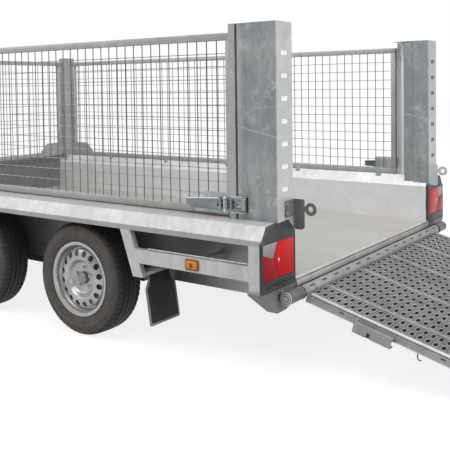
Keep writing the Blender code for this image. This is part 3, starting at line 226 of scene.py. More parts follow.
def beam_painted_shade_and_light(n, colour):
    """Side beam: painted shade on the web under the shoulder, lip and ledge; painted light inside.
    """
    along, y, up = n.axes()
    across = n.sum("ABSOLUTE", y)
    low = n.times(n.span(up, 0.66, 0.64),
                  n.span(along, REAR_X + 0.08, REAR_X + 0.55, 0.05, 0.88))
    outside = n.times(n.span(across, 0.9012, 0.9022), n.span(across, 0.94, 0.925))
    inside = n.times(n.span(across, 0.9022, 0.9012), n.span(up, 0.69, 0.68))
    lip = n.times(n.span(up, 0.6705, 0.6685), n.span(across, 0.95, 0.96))
    ledge = n.times(n.times(n.span(up, 0.73, 0.7325), n.span(across, 0.972, 0.98)),
                    n.span(along, REAR_X + 0.25, REAR_X + 0.55))
    # Painted shade on the web, lip and ledge; painted light on the inside wall.
    return n.layers(colour, (outside, low, (0.07, 0.074, 0.069)), (lip, 0.5, (0.2, 0.205, 0.195)),
                    (ledge, 0.55, (0.3, 0.3, 0.295)), (inside, 0.62, (0.76, 0.76, 0.755)))


def post_places(n, colour):
    """Rear post: painted light on rear face, front fold and far groove; cool sides, patches, a
    streak.
    """
    along, y, up = n.axes()
    cool = n.span(n.noise(n.coords(), 3.1, 3), 0.38, 0.58, 0.15, 0.75)
    patch = n.times(n.span(n.noise(n.coords(), 12.0, 6, 0.78), 0.52, 0.63),
                    n.span(n.noise(n.coords(), 3.7, 2), 0.4, 0.54))
    # Painted light: the far post's groove near white.
    groove = n.times(n.span(along, REAR_X + 0.205, REAR_X + 0.215),
                     n.times(n.span(y, -1.0585, -1.057), n.span(y, -0.5, -0.9)))
    level = n.sum("SUBTRACT", up, n.times(along, 0.22))
    streak = n.span(n.sum("ABSOLUTE", n.sum("SUBTRACT", level, 1.543)), 0.006, 0.0015)
    # Painted light: the rear face and the front fold paler.
    rear = n.span(along, REAR_X + 0.008, REAR_X + 0.002)
    front = n.span(along, REAR_X + 0.19, REAR_X + 0.225)
    return n.layers(colour, (cool, 1.0, (0.205, 0.24, 0.258)), (patch, 0.55, (0.5, 0.53, 0.53)),
                    (streak, 0.4, (0.55, 0.57, 0.57)), (rear, 0.62, (0.66, 0.66, 0.655)),
                    (front, 0.55, (0.46, 0.465, 0.46)), (groove, 0.9, (0.86, 0.86, 0.86)))


def plain(name, colour, rough, metallic=0.0, bump=0.2, grain=220.0, spread=0.12, coat=0.0):
    """Evenly finished surface with fine grain and faint unevenness."""
    n = new_look(name)
    cloud = n.span(n.noise(n.coords(), 9.0, 4), 0.3, 0.7)
    low = tuple(c * (1 - spread) for c in colour)
    high = tuple(min(1.0, c * (1 + spread)) for c in colour)
    fine = n.noise(n.coords(), grain, 3)
    n.set(Base_Color=n.mix(cloud, low, high), Metallic=metallic,
          Roughness=n.span(fine, 0.3, 0.7, max(0.05, rough - 0.06), rough + 0.06))
    if coat:
        n.set(Coat_Weight=coat, Coat_Roughness=0.06)
    n.bump(fine, bump, 0.0005)
    return n.owner


def tyre_rubber():
    """Tyre rubber: dark tread, side walls dusty brown-grey with paler rings."""
    n = new_look("tyre_rubber")
    x, _, z = n.axes()
    away = n.sum("SQRT", n.plus(n.times(x, x), n.times(z, z)))
    wall = n.span(away, 0.302, 0.294)
    ring = n.times(n.span(away, 0.246, 0.258), n.span(away, 0.272, 0.262))
    dust = n.span(n.noise(n.coords(), 14.0, 5, 0.6), 0.35, 0.7)
    side = n.mix(dust, (0.05, 0.045, 0.041), (0.088, 0.08, 0.073))
    side = n.mix(n.times(ring, 0.45), side, (0.125, 0.117, 0.11))
    tread = n.mix(dust, (0.014, 0.014, 0.014), (0.03, 0.029, 0.028))
    fine = n.noise(n.coords(), 380.0, 3)
    n.set(Base_Color=n.mix(wall, tread, side), Roughness=n.span(fine, 0.3, 0.7, 0.62, 0.8))
    n.bump(fine, 0.25, 0.0004)
    return n.owner


def floor_board():
    """Resin faced floor board: fine pressed grid, patches of wear, painted shade darker to the
    front.
    """
    n = new_look("floor_board")
    # Painted shade: the board darker towards the front of the bed.
    painted_front_shade = n.span(n.axes()[0], REAR_X, REAR_X + BED_LENGTH)
    cloud = n.span(n.noise(n.coords((0.5, 1.4, 1)), 2.6, 5, 0.6), 0.3, 0.7)
    scuff = n.span(n.noise(n.coords((0.7, 7.0, 1)), 9.0, 4, 0.7), 0.56, 0.72)
    base = n.mix(cloud, (0.3, 0.289, 0.274), (0.352, 0.342, 0.327))
    n.set(Base_Color=n.layers(base, (painted_front_shade, 0.55, (0.17, 0.166, 0.16)),
                              (scuff, 0.25, (0.44, 0.43, 0.415))),
          Roughness=n.span(cloud, 0, 1, 0.5, 0.66))
    net = n.cells(n.coords(), 170.0, "DISTANCE_TO_EDGE", "Distance")
    n.bump(n.span(net, 0, 0.25), 0.25, 0.0006)
    return n.owner


def lens(name, colour, cell, rough=0.2):
    """Moulded lamp lens: small square prisms under a glossy face."""
    n = new_look(name)
    prisms = n.node("TexVoronoi", {"Vector": n.coords(), "Scale": cell, "Randomness": 0.0},
                    distance="CHEBYCHEV").outputs["Distance"]
    glow = n.span(prisms, 0, 0.5)
    n.set(Base_Color=n.mix(glow, tuple(min(1, c * 1.35 + 0.01) for c in colour),
                           tuple(c * 0.62 for c in colour)),
          Roughness=rough, Specular_IOR_Level=0.16)
    n.bump(glow, 0.5, 0.0012)
    return n.owner


ZINC = galvanised("galvanised_zinc", 0.5, 0.26)
BEAM_ZINC = galvanised("beam_zinc", 0.52, 0.28, 0.012, metallic=0.45, runs=0.45, flecks=0.35,
                       places=beam_painted_shade_and_light)
POST_ZINC = galvanised("post_zinc", 0.33, 0.34, 0.0, flake=30, runs=0.9, flecks=0.7,
                       places=post_places)
PANEL_ZINC = galvanised("panel_zinc", 0.37, 0.22, flake=70)
# Painted shade: a darker copy of the zinc for the front board, hinge brackets and far slot backs;
# also on the overrun tube, eye plate and ramp hook.
DARK_ZINC = galvanised("dark_zinc", 0.165, 0.24, rough=(0.42, 0.6), metallic=0.45)
RAMP_ZINC = galvanised("ramp_zinc", 0.27, 0.22, flake=60)
SILL_ZINC = galvanised("sill_zinc", 0.36, 0.35, 0.02, metallic=0.3, flake=70)
SLEEVE_ZINC = galvanised("sleeve_zinc", 0.15, 0.55, flake=80, flecks=0.9)
# Painted shade and highlight: a darker copy of the tread zinc for the field, a paler one for the
# crests.
TREAD_FIELD = galvanised("tread_field", 0.15, 0.4, rough=(0.42, 0.62), metallic=0.4, flake=60)
TREAD_CREST = galvanised("tread_crest", 0.4, 0.3, rough=(0.34, 0.54), metallic=0.5, flake=60)
# Painted shade: a darker copy of the zinc for the chassis underneath.
UNDER_ZINC = galvanised("under_zinc", 0.15, 0.28, 0.0, rough=(0.42, 0.6), metallic=0.4)
CAP_ZINC = galvanised("cap_zinc", 0.05, 0.45, 0.0, rough=(0.4, 0.58), metallic=0.35)
# Painted light: a paler copy of the wire zinc for the cross wires.
CROSS_WIRE_ZINC = galvanised("cross_wire_zinc", 0.36, 0.15, metallic=0.45, flake=90)
FRAME_ZINC = galvanised("frame_zinc", 0.31, 0.28, flake=50, flecks=0.5)
# Painted shade: a darker copy of the wire zinc for the upright wires.
WIRE_ZINC = galvanised("wire_zinc", 0.135, 0.15, metallic=0.45, flake=90)
BRIGHT = plain("bright_zinc", (0.52, 0.52, 0.51), 0.26, 0.85, 0.1, 260.0, 0.08)
TOGGLE_STEEL = plain("toggle_steel", (0.185, 0.21, 0.215), 0.3, 0.65, 0.12, 240.0, 0.3)
TOGGLE_PALE = plain("toggle_pale", (0.44, 0.47, 0.47), 0.3, 0.55, 0.12, 240.0, 0.25)
TOGGLE_MID = plain("toggle_mid", (0.34, 0.36, 0.36), 0.3, 0.55, 0.12, 240.0, 0.35)
# Painted highlight for folded edges and the toggle levers' top edges.
EDGE_HIGHLIGHT = plain("painted_edge_highlight", (0.84, 0.85, 0.85), 0.32, 0.15, 0.1, 200.0, 0.08)
# Painted light: near-white backs for the near post's slots.
SLOT_PALE = plain("slot_pale", (0.8, 0.8, 0.8), 0.6, bump=0.1)
BLACK = plain("black_plastic", (0.02, 0.02, 0.021), 0.42, bump=0.3)
# Painted shade: dark pieces in place of the shade inside slots, holes and gaps.
HOLLOW = plain("hollow_painted_shade", (0.018, 0.018, 0.019), 0.8)
# Painted shade: dark walls inside the tread's holes, the side groove and the latch channel's back.
TREAD_HOLLOW = plain("tread_hollow", (0.028, 0.028, 0.027), 0.75, 0.2)
FLAP = plain("flap_rubber", (0.014, 0.014, 0.014), 0.66, bump=0.35, grain=180.0)
FLAP_BORDER = plain("flap_border", (0.33, 0.335, 0.33), 0.6, bump=0.3, grain=180.0)
BLACK_STEEL = plain("black_steel", (0.028, 0.028, 0.03), 0.36, 0.25)
RUBBER = tyre_rubber()
BOARD = floor_board()
SILVER = plain("wheel_silver", (0.4, 0.405, 0.41), 0.32, 0.62, 0.12, 420.0, 0.1, 0.12)
CAP = plain("hub_cap_steel", (0.22, 0.225, 0.23), 0.28, 0.8, 0.1, 300.0, 0.1)
RED = lens("red_lens", (0.56, 0.005, 0.007), 130, 0.22)
DEEP_RED = lens("deep_red_lens", (0.34, 0.004, 0.006), 210, 0.22)
CLEAR = lens("clear_lens", (0.33, 0.29, 0.29), 110)
GLINT = plain("lamp_glint", (0.85, 0.72, 0.72), 0.3, bump=0.1)
AMBER = lens("amber_lens", (0.72, 0.2, 0.02), 150)
AMBER_PALE = lens("amber_pale_lens", (0.88, 0.36, 0.08), 190)
AMBER_DEEP = lens("amber_deep_lens", (0.5, 0.13, 0.012), 190)
AMBER_DARK = plain("amber_dark", (0.17, 0.06, 0.022), 0.45)


# Shape helpers

def mesh_from(bm, angle=38):
    """Smooth mesh of a finished bmesh, its faces pointing out and its folds sharp."""
    bmesh.ops.recalc_face_normals(bm, faces=bm.faces)
    mesh = bpy.data.meshes.new("shape")
    bm.to_mesh(mesh)
    bm.free()
    mesh.shade_smooth()
    mesh.set_sharp_from_angle(angle=radians(angle))
    return mesh


def ease(bm, width, segments):
    """Round the sharp edges."""
    edges = [e for e in bm.edges if len(e.link_faces) == 2
             and e.calc_face_angle(0) > radians(30)]
    bmesh.ops.bevel(bm, geom=edges, offset=width, segments=segments, profile=0.5,
                    affect="EDGES", clamp_overlap=True)


def merge(bm, part, matrix=None):
    """Put one bmesh's shape into another."""
    bmesh.ops.recalc_face_normals(part, faces=part.faces)
    mesh = bpy.data.meshes.new("part")
    part.to_mesh(mesh)
    part.free()
    if matrix is not None:
        mesh.transform(matrix)
    bm.from_mesh(mesh)
    bpy.data.meshes.remove(mesh)


def bridge(bm, ring, after):
    """Faces between two closed rings of as many points."""
    corners = zip(ring, ring[1:] + ring[:1], after[1:] + after[:1], after)
    return [bm.faces.new(four) for four in corners]


def add_prism(bm, outline, axis, low, high, soft=0, segments=2):
    """Solid of a flat outline run along an axis, with its edges eased."""
    spot = {"x": lambda a, b, c: (c, a, b),
            "y": lambda a, b, c: (a, c, b),
            "z": lambda a, b, c: (a, b, c)}[axis]
    part = bmesh.new()
    face = part.faces.new([part.verts.new(spot(a, b, low)) for a, b in outline])
    grown = bmesh.ops.extrude_face_region(part, geom=[face])["geom"]
    ends = [item for item in grown if isinstance(item, bmesh.types.BMVert)]
    bmesh.ops.translate(part, verts=ends, vec=spot(0, 0, high - low))
    if soft:
        ease(part, soft, segments)
    merge(bm, part)


def rectangle(a0, a1, b0, b1):
    """Outline between two corners."""
    return [(a0, b0), (a1, b0), (a1, b1), (a0, b1)]


def add_box(bm, x0, x1, y0, y1, z0, z1, soft=0):
    """Block between two corners, with its edges eased."""
    add_prism(bm, rectangle(x0, x1, y0, y1), "z", z0, z1, soft)


def add_turned(bm, profile, sides, matrix=None, closed=True):
    """Profile of (radius, place along Y) turned about the Y axis."""
    part = bmesh.new()
    rings = []
    for radius, along in profile:
        count = sides if radius > 0 else 1
        turns = [2 * pi * k / count for k in range(count)]
        rings.append([part.verts.new((radius * sin(t), along, -radius * cos(t)))
                      for t in turns])
    pairs = list(zip(rings, rings[1:] + rings[:1])) if closed else list(zip(rings, rings[1:]))
    for ring, after in pairs:
        if len(ring) == len(after) == 1:
            continue
        for k in range(sides):
            corners = [ring[k % len(ring)], ring[(k + 1) % len(ring)],
                       after[(k + 1) % len(after)], after[k % len(after)]]
            part.faces.new(list(dict.fromkeys(corners)))
    merge(bm, part, matrix)


def towards(start, end):
    """Matrix that lays the Y axis along the line from start to end."""
    line = Vector(end) - Vector(start)
    return move(*start) @ line.to_track_quat("Y", "Z").to_matrix().to_4x4(), line.length


def add_rod(bm, start, end, radius, sides=16, bore=0, soft=0.0):
    """Round bar or tube, its end edges eased."""
    matrix, length = towards(start, end)
    soft = min(soft, radius * 0.6)
    outer = ([(radius - soft, 0), (radius, soft), (radius, length - soft), (radius - soft, length)]
             if soft else [(radius, 0), (radius, length)])
    add_turned(bm, [(bore, 0), *outer, (bore, length)], sides, matrix)


def add_bolt(bm, spot, direction, size):
    """Hexagon head on a washer, standing off a face."""
    matrix, _ = towards(spot, Vector(spot) + Vector(direction))
    add_turned(bm, [(0, -0.001), (size * 1.45, -0.001), (size * 1.45, size * 0.16),
                    (size * 1.35, size * 0.24), (0, size * 0.24)], 20, matrix)
    rise = size * 0.22
    add_turned(bm, [(0, rise), (size, rise), (size, rise + size * 0.55),
                    (size * 0.86, rise + size * 0.68), (0, rise + size * 0.68)], 6, matrix)


def add_wire_path(bm, path, radius, sides=10):
    """Round wire along a path of points."""
    points = [Vector(p) for p in path]
    part = bmesh.new()
    rings = []
    normal = None
    for before, here, after in zip([points[0], *points], points, [*points[1:], points[-1]]):
        ahead = (after - before).normalized()
        if normal is None:
            normal = ahead.orthogonal()
        normal = (normal - ahead * normal.dot(ahead)).normalized()
        side = ahead.cross(normal)
        rings.append([part.verts.new(here + radius * (cos(t) * normal + sin(t) * side))
                      for t in (2 * pi * k / sides for k in range(sides))])
    for ring, after in zip(rings, rings[1:]):
        bridge(part, ring, after)
    part.faces.new(rings[0])
    part.faces.new(rings[-1])
    merge(bm, part)


def rounded(points, radius, steps=4):
    """Outline with its corners rounded."""
    result = []
    count = len(points)
    for i in range(count):
        here = Vector(points[i])
        before, after = Vector(points[i - 1]), Vector(points[(i + 1) % count])
        a, b = (before - here).normalized(), (after - here).normalized()
        half = a.angle(b) / 2
        reach = min(radius / tan(half), (before - here).length * 0.49, (after - here).length * 0.49)
        start, end = here + a * reach, here + b * reach
        for k in range(steps + 1):
            t = k / steps
            spot = start * (1 - t) ** 2 + here * (2 * t * (1 - t)) + end * t ** 2
            result.append((spot.x, spot.y))
    return result


def shape(add, *rows):
    """New shape of parts that one helper adds, a row of values for each."""
    bm = bmesh.new()
    for row in rows:
        add(bm, *row)
    return bm


def new_object(name, data):
    """Object in the scene."""
    thing = bpy.data.objects.new(name, data)
    bpy.context.scene.collection.objects.link(thing)
    return thing


def show(name, mesh, materials, body, matrix, replaced=None):
    """Object of a finished mesh, riding on a body."""
    mesh.name = name
    for material in materials:
        mesh.materials.append(material)
    thing = new_object(name, mesh)
    thing.matrix_world = matrix
    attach(thing, body)
    if replaced:
        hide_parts(replaced)
    return thing


def put(name, bm, material, body="trailer", matrix=ON_TRAILER, replaced=None, angle=38):
    """One piece of a finished shape."""
    return show(name, mesh_from(bm, angle), [material], body, matrix, replaced)


def mirror_mesh(mesh):
    """Copy of a mesh for the trailer's other side."""
    other = mesh.copy()
    other.transform(Matrix.Diagonal((1, -1, 1, 1)))
    other.flip_normals()
    return other


def put_pair(name, bm, material, body="trailer", matrix=ON_TRAILER, replaced=None):
    """A left piece and its mirror image on the right."""
    mesh = mesh_from(bm)
    meshes = {"_left": mesh, "_right": mirror_mesh(mesh)}
    return [show(name + side, meshes[side], [material], body, matrix,
                 replaced and replaced + side) for side in meshes]


# Camera and stage

def make_camera():
    """Camera at the photograph's place."""
    yaw, pitch, roll = -0.9485, -0.0391, -0.013
    data = bpy.data.cameras.new("camera")
    data.sensor_width = 36
    data.lens = 58.74
    data.shift_x = 0.0075
    data.shift_y = -0.2397
    camera = new_object("camera", data)
    camera.matrix_world = (move(-3.6165, 3.9558, 1.3658) @ turn(yaw - pi / 2, "Z")
                           @ turn(pitch + pi / 2, "X") @ turn(roll, "Z"))
    bpy.context.scene.camera = camera


def make_stage():
    """Plain pale floor and surroundings that the camera sees as white."""
    bm = bmesh.new()
    bmesh.ops.create_circle(bm, cap_ends=True, radius=60, segments=96)
    mesh = bpy.data.meshes.new("stage_floor")
    bm.to_mesh(mesh)
    bm.free()
    ground = new_object("stage_floor", mesh)
    ground.location = (0, 0, -0.001)
    n = new_look("stage_floor")
    n.tree.nodes.remove(n.tree.nodes["Principled BSDF"])
    rays = n.node("LightPath").outputs
    seen = n.times(n.sum("MAXIMUM", rays["Is Camera Ray"], rays["Is Glossy Ray"]), 0.84)
    matte = n.node("BsdfDiffuse", {"Color": (0.23, 0.23, 0.232, 1)})
    glow = n.node("Emission", {"Color": (1, 1, 1, 1), "Strength": seen})
    both = n.node("AddShader", {0: matte.outputs[0], 1: glow.outputs[0]})
    n.join(n.tree.nodes["Material Output"].inputs["Surface"], both.outputs[0])
    mesh.materials.append(n.owner)

    bpy.context.scene.world = bpy.data.worlds.new("studio")
    n = Nodes(bpy.context.scene.world)
    rays = n.node("LightPath").outputs
    seen = n.sum("MAXIMUM", rays["Is Camera Ray"], rays["Is Transmission Ray"])
    light = n.tree.nodes["Background"].inputs
    light["Color"].default_value = (1, 1, 1, 1)
    n.join(light["Strength"], n.span(seen, 0, 1, 0.6, 1.0))


def make_lamps():
    """Soft overhead light with a weaker one from the camera's side."""
    for name, place, aim, size, power in (
            ("lamp_above", (-1.0, 1.5, 6.5), (0.2, 0, 0.5), 7.0, 440),
            ("lamp_side", (-8.0, 1.0, 3.0), (0, 0, 0.8), 4.0, 270),
            ("lamp_front", (5.0, 5.5, 4.5), (0.8, 0, 0.6), 4.0, 105)):
        data = bpy.data.lights.new(name, "AREA")
        data.shape = "DISK"
        data.size = size
        data.energy = power
        lamp = new_object(name, data)
        lamp.location = place
        lamp.rotation_euler = (Vector(aim) - Vector(place)).to_track_quat("-Z", "Y").to_euler()


# Mesh panels

def even_places(low, high, pitch):
    """Places between two edges, evenly spaced at about a pitch."""
    count = max(1, round((high - low) / pitch) - 1)
    return [low + (high - low) * (i + 1) / (count + 1) for i in range(count)]


def panel_frame(low, high, foot, head):
    """Welded frame of square tube with rounded edges, its middle at Y = 0."""
    half, bar, soft, inset = PANEL_BAR / 2, PANEL_BAR, 0.0035, 0.0003
    level = [(low, high, -half, half, z0, z1, soft)
             for z0, z1 in ((foot, foot + bar), (head - bar, head))]
    upright = [(x0, x1, -half + inset, half - inset, foot + bar - 0.002, head - bar + 0.002, soft)
               for x0, x1 in ((low, low + bar), (high - bar, high))]
    return shape(add_box, *level, *upright)


def panel_wires(low, high, foot, head):
    """Welded wires in two layers that touch: uprights, and thinner cross wires."""
    uprights, across = bmesh.new(), bmesh.new()
    bar = PANEL_BAR
    left, right, low_z, high_z = low + bar, high - bar, foot + bar, head - bar
    r = WIRE_RADIUS
    for x in even_places(left, right, WIRE_PITCH):
        add_rod(uprights, (x, r * 0.9, low_z - 0.004), (x, r * 0.9, high_z + 0.004), r, 8)
    for z in even_places(low_z, high_z, WIRE_PITCH):
        add_rod(across, (left - 0.004, -r * 0.9, z), (right + 0.004, -r * 0.9, z), r * 0.85, 8)
    return uprights, across


def put_panel(name, spec, place):
    """Frame and both layers of wire of one panel."""
    put("panel_frame_" + name, panel_frame(*spec), PANEL_ZINC, matrix=place,
        replaced="mesh_" + name)
    uprights, across = panel_wires(*spec)
    # Painted shade on the uprights, painted light on the cross wires.
    put("panel_uprights_" + name, uprights, WIRE_ZINC, matrix=place)
    put("panel_cross_wires_" + name, across, CROSS_WIRE_ZINC, matrix=place)


def mesh_panels():
    """Side panels between the posts, and the front one."""
    low, high = POST_DEPTH + GAP, FRONT_POST_X - GAP
    for sign, side in ((1, "left"), (-1, "right")):
        place = ON_TRAILER @ move(0, sign * PANEL_CENTRE, 0)
        put_panel(side, (low, high, PANEL_BOTTOM, PANEL_TOP), place)
    reach = FRONT_POST_INNER - GAP
    rise = BEAM_TOP + GAP - PANEL_BOTTOM
    place = ON_TRAILER @ move(FRONT_POST_FACE - PANEL_BAR / 2, 0, 0) @ turn(pi / 2, "Z")
    put_panel("front", (-reach, reach, PANEL_BOTTOM + rise, PANEL_TOP + rise), place)


# Ramp deck

HOLE_ROWS = 39
HOLE_FIRST = 0.0405
HOLE_PITCH = 0.0374
HOLE_LENGTH = 0.046
HOLE_WIDTH = 0.0185
HOLE_DEPTH = 0.024
RIM_WIDTH = 0.0062
RIM_RISE = 0.0045
LIP = 0.01
# Field in painted shade, hole walls in painted shade, crests in painted highlight.
FIELD, INSIDE, CREST = 0, 1, 2        # the tread's materials in order


def slot_ring(half_long, half_wide, count):
    """Points of a rounded slot, long across the ramp, starting at its right end."""
    points = []
    straight = half_long - half_wide
    for k in range(count):
        t = 2 * pi * (k + 0.5) / count
        c, s = cos(t), sin(t)
        points.append((half_wide * s, half_wide * c + (straight if c > 0 else -straight)))
    return points


def grip_tile(bm, s0, s1, y0, y1, hole):
    """One bay of tread sheet, with a pressed hole: raised rim, and a wall down into it."""
    s_mid, y_mid = (s0 + s1) / 2, (y0 + y1) / 2
    ys = [y0 + (y1 - y0) * i / 3 for i in range(4)]
    ss = [s0 + (s1 - s0) * i / 3 for i in range(4)]
    around = ([(ss[i], y1) for i in (1, 2, 3)] + [(s1, ys[i]) for i in (2, 1, 0)]
              + [(ss[i], y0) for i in (2, 1, 0)] + [(s0, ys[i]) for i in (1, 2, 3)])
    ring = [bm.verts.new((-s, y, RAMP_TOP - RIM_RISE)) for s, y in around]
    if not hole:
        bm.faces.new(ring)
        return
    # The rim's top takes the crests' painted highlight; the wall into the hole takes painted shade.
    for grow, height, material in (
            (RIM_WIDTH, -RIM_RISE, FIELD), (RIM_WIDTH * 0.55, -0.0006, FIELD),
            (RIM_WIDTH * 0.2, 0.0, CREST), (0.0, -0.0012, CREST), (-0.0004, -HOLE_DEPTH, INSIDE)):
        outline = slot_ring(HOLE_LENGTH / 2 + grow, HOLE_WIDTH / 2 + grow, len(ring))
        after = [bm.verts.new((-(s_mid + a), y_mid + b, RAMP_TOP + height)) for a, b in outline]
        for face in bridge(bm, ring, after):
            face.material_index = material
        ring = after


def plank_lip(bm, inner, outer_edge, sign, begin, end):
    """Folded edge of a plank, a little higher than its field."""
    flat, top = RAMP_TOP - RIM_RISE, RAMP_TOP - 0.0004
    crease = outer_edge - sign * LIP
    section = [(inner, flat), (crease, flat), (crease + sign * 0.0025, top),
               (outer_edge - sign * 0.0015, top), (outer_edge, top - 0.0015),
               (outer_edge, RAMP_TOP - 0.036)]
    for i, ((ya, na), (yb, nb)) in enumerate(zip(section, section[1:])):
        face = bm.faces.new([bm.verts.new((-s, y, n)) for s, y, n in
                             ((begin, ya, na), (end, ya, na), (end, yb, nb), (begin, yb, nb))])
        # The fold's top strip takes the crests' painted highlight.
        face.material_index = CREST if i == 2 else FIELD


def ramp_tread():
    """Planks with rows of pressed holes and a folded lip on each side of every plank."""
    bm = bmesh.new()
    edge = RAMP_HALF - RAMP_LIP - GAP
    borders = [-edge, *PLANK_BORDERS, edge]
    begin, end = PLANK_START, RAMP_LENGTH - 0.0065
    first = HOLE_FIRST - HOLE_PITCH / 2
    last = first + HOLE_ROWS * HOLE_PITCH
    for y0, y1 in zip(borders, borders[1:]):
        columns = 2 if y1 - y0 < 0.25 else 5
        low, high = y0 + LIP + 0.003, y1 - LIP - 0.003
        wide = (high - low) / columns
        for row in range(HOLE_ROWS):
            s0 = first + row * HOLE_PITCH
            s1 = s0 + HOLE_PITCH
            for col in range(columns):
                grip_tile(bm, s0, s1, low + col * wide, low + (col + 1) * wide, s1 <= end)
        for a, b in ((begin, first), (last, end)):
            if b > a + 0.0005:
                bm.faces.new([bm.verts.new((-s, y, RAMP_TOP - RIM_RISE)) for s, y in
                              ((a, low), (b, low), (b, high), (a, high))])
        plank_lip(bm, low, y0 + 0.0012, -1, begin, end)
        plank_lip(bm, high, y1 - 0.0012, 1, begin, end)
    bmesh.ops.remove_doubles(bm, verts=bm.verts, dist=0.00005)
    for vertex in bm.verts:
        ground = TIP_LOW - (RAMP_LENGTH + vertex.co.x) * tan(RAMP_ANGLE) + 0.001
        vertex.co.z = max(vertex.co.z, ground)
    bmesh.ops.transform(bm, matrix=ON_RAMP, verts=bm.verts)
    show("ramp_tread", mesh_from(bm, 50), [TREAD_FIELD, TREAD_HOLLOW, TREAD_CREST],
         "ramp", Matrix.Identity(4), "ramp_deck")


def hinge_slots():
    """Short slots along the top of the ramp's hinge tube, as dark pieces of painted shade."""
    lean = radians(28)
    across = (-cos(lean), 0, -sin(lean))
    away = (-sin(lean), 0, cos(lean))
    lay = Matrix((across, (0, 1, 0), away)).transposed().to_4x4()
    bm = bmesh.new()
    for k in range(14):
        y = -0.845 + k * 0.13
        outline = rounded(rectangle(-0.0032, 0.0032, y - 0.024, y + 0.024), 0.003, 3)
        slot = shape(add_prism, (outline, "z", TUBE_RADIUS - 0.0012, TUBE_RADIUS + 0.0001))
        merge(bm, slot, lay)
    put("hinge_slots", bm, HOLLOW, "ramp", ON_RAMP)


# Wheels

TREAD_PITCHES = 60
SHOULDER, BLOCK = 1, 2                # the third value of a profile's point that blocks cut


def tyre_mesh():
    """Road tyre: ribbed side walls, four round grooves and cut shoulder blocks."""
    r = WHEEL_RADIUS - 0.0004
    half = [(0.1936, 0.078, 0), (0.203, 0.08, 0), (0.209, 0.0838, 0), (0.213, 0.0885, 0),
            (0.2165, 0.0905, 0), (0.218, 0.089, 0), (0.226, 0.0918, 0), (0.236, 0.0945, 0),
            (0.248, 0.0962, 0), (0.256, 0.0968, 0), (0.2575, 0.0985, 0), (0.261, 0.0985, 0),
            (0.2625, 0.0966, 0), (0.274, 0.095, 0), (0.285, 0.0925, 0), (0.29, 0.0915, 0),
            (0.2915, 0.0925, 0), (0.2945, 0.0915, 0), (0.2955, 0.0895, 0), (0.301, 0.086, 1),
            (0.306, 0.082, 1), (0.3105, 0.076, 1), (0.3135, 0.069, 1), (r - 0.0016, 0.058, 1),
            (r - 0.0014, 0.054, 1), (r - 0.008, 0.053, 0), (r - 0.008, 0.0475, 0),
            (r - 0.001, 0.0465, 2), (r - 0.0002, 0.033, 2), (r, 0.0205, 2), (r - 0.0078, 0.0195, 0),
            (r - 0.0078, 0.014, 0), (r, 0.013, 0), (r, 0, 0)]
    profile = half + [(radius, -y, kind) for radius, y, kind in half[-2::-1]]
    steps = TREAD_PITCHES * 4
    bm = bmesh.new()
    rings = []
    for step in range(steps):
        t = 2 * pi * step / steps
        phase = step % 4
        ring = []
        for radius, y, kind in profile:
            cut, lean = 0.0, 0.0
            if kind == SHOULDER and phase == 0:
                cut = 0.003 if radius < 0.302 else 0.006
            elif kind == BLOCK:
                cut = 0.0045 if (phase == 2 and abs(y) > 0.03) else 0.0
                lean = (abs(y) - 0.033) * 0.5
            angle = t + lean
            near = radius - cut
            ring.append(bm.verts.new((near * sin(angle), y, -near * cos(angle))))
        rings.append(ring)
    count = len(profile)
    for i in range(steps):
        a, b = rings[i], rings[(i + 1) % steps]
        for k in range(count):
            j = (k + 1) % count
            bm.faces.new([a[k], b[k], b[j], a[j]])
    return mesh_from(bm, 32)


VENTS = 16
VENT_STEPS = 6
VENT_IN = 0.1255
VENT_OUT = 0.1615
VENT_HALF = (0.0168, 0.0172)          # across the disc and around it
DISC_SHEET = 0.0048
BOLT_FACE = 0.043
BOLT_CIRCLE = 0.056
HUB_CAP = [(0.0352, 0.04), (0.0352, 0.05), (0.0345, 0.0535), (0.0335, 0.056), (0.033, 0.06),
           (0.0322, 0.064), (0.03, 0.0665), (0.0262, 0.0675), (0.0252, 0.0658), (0.02, 0.0655),
           (0.0185, 0.0672), (0.01, 0.068), (0, 0.0682)]


def disc_height(radius):
    """Place along Y of the wheel disc's outer face, between the raised ring and the rim."""
    spots = [(0.124, 0.0785), (0.133, 0.0765), (0.143, 0.0735), (0.153, 0.0695), (0.162, 0.065)]
    for (r0, y0), (r1, y1) in zip(spots, spots[1:]):
        if radius <= r1:
            return y0 + (y1 - y0) * (radius - r0) / (r1 - r0)
    return spots[-1][1]


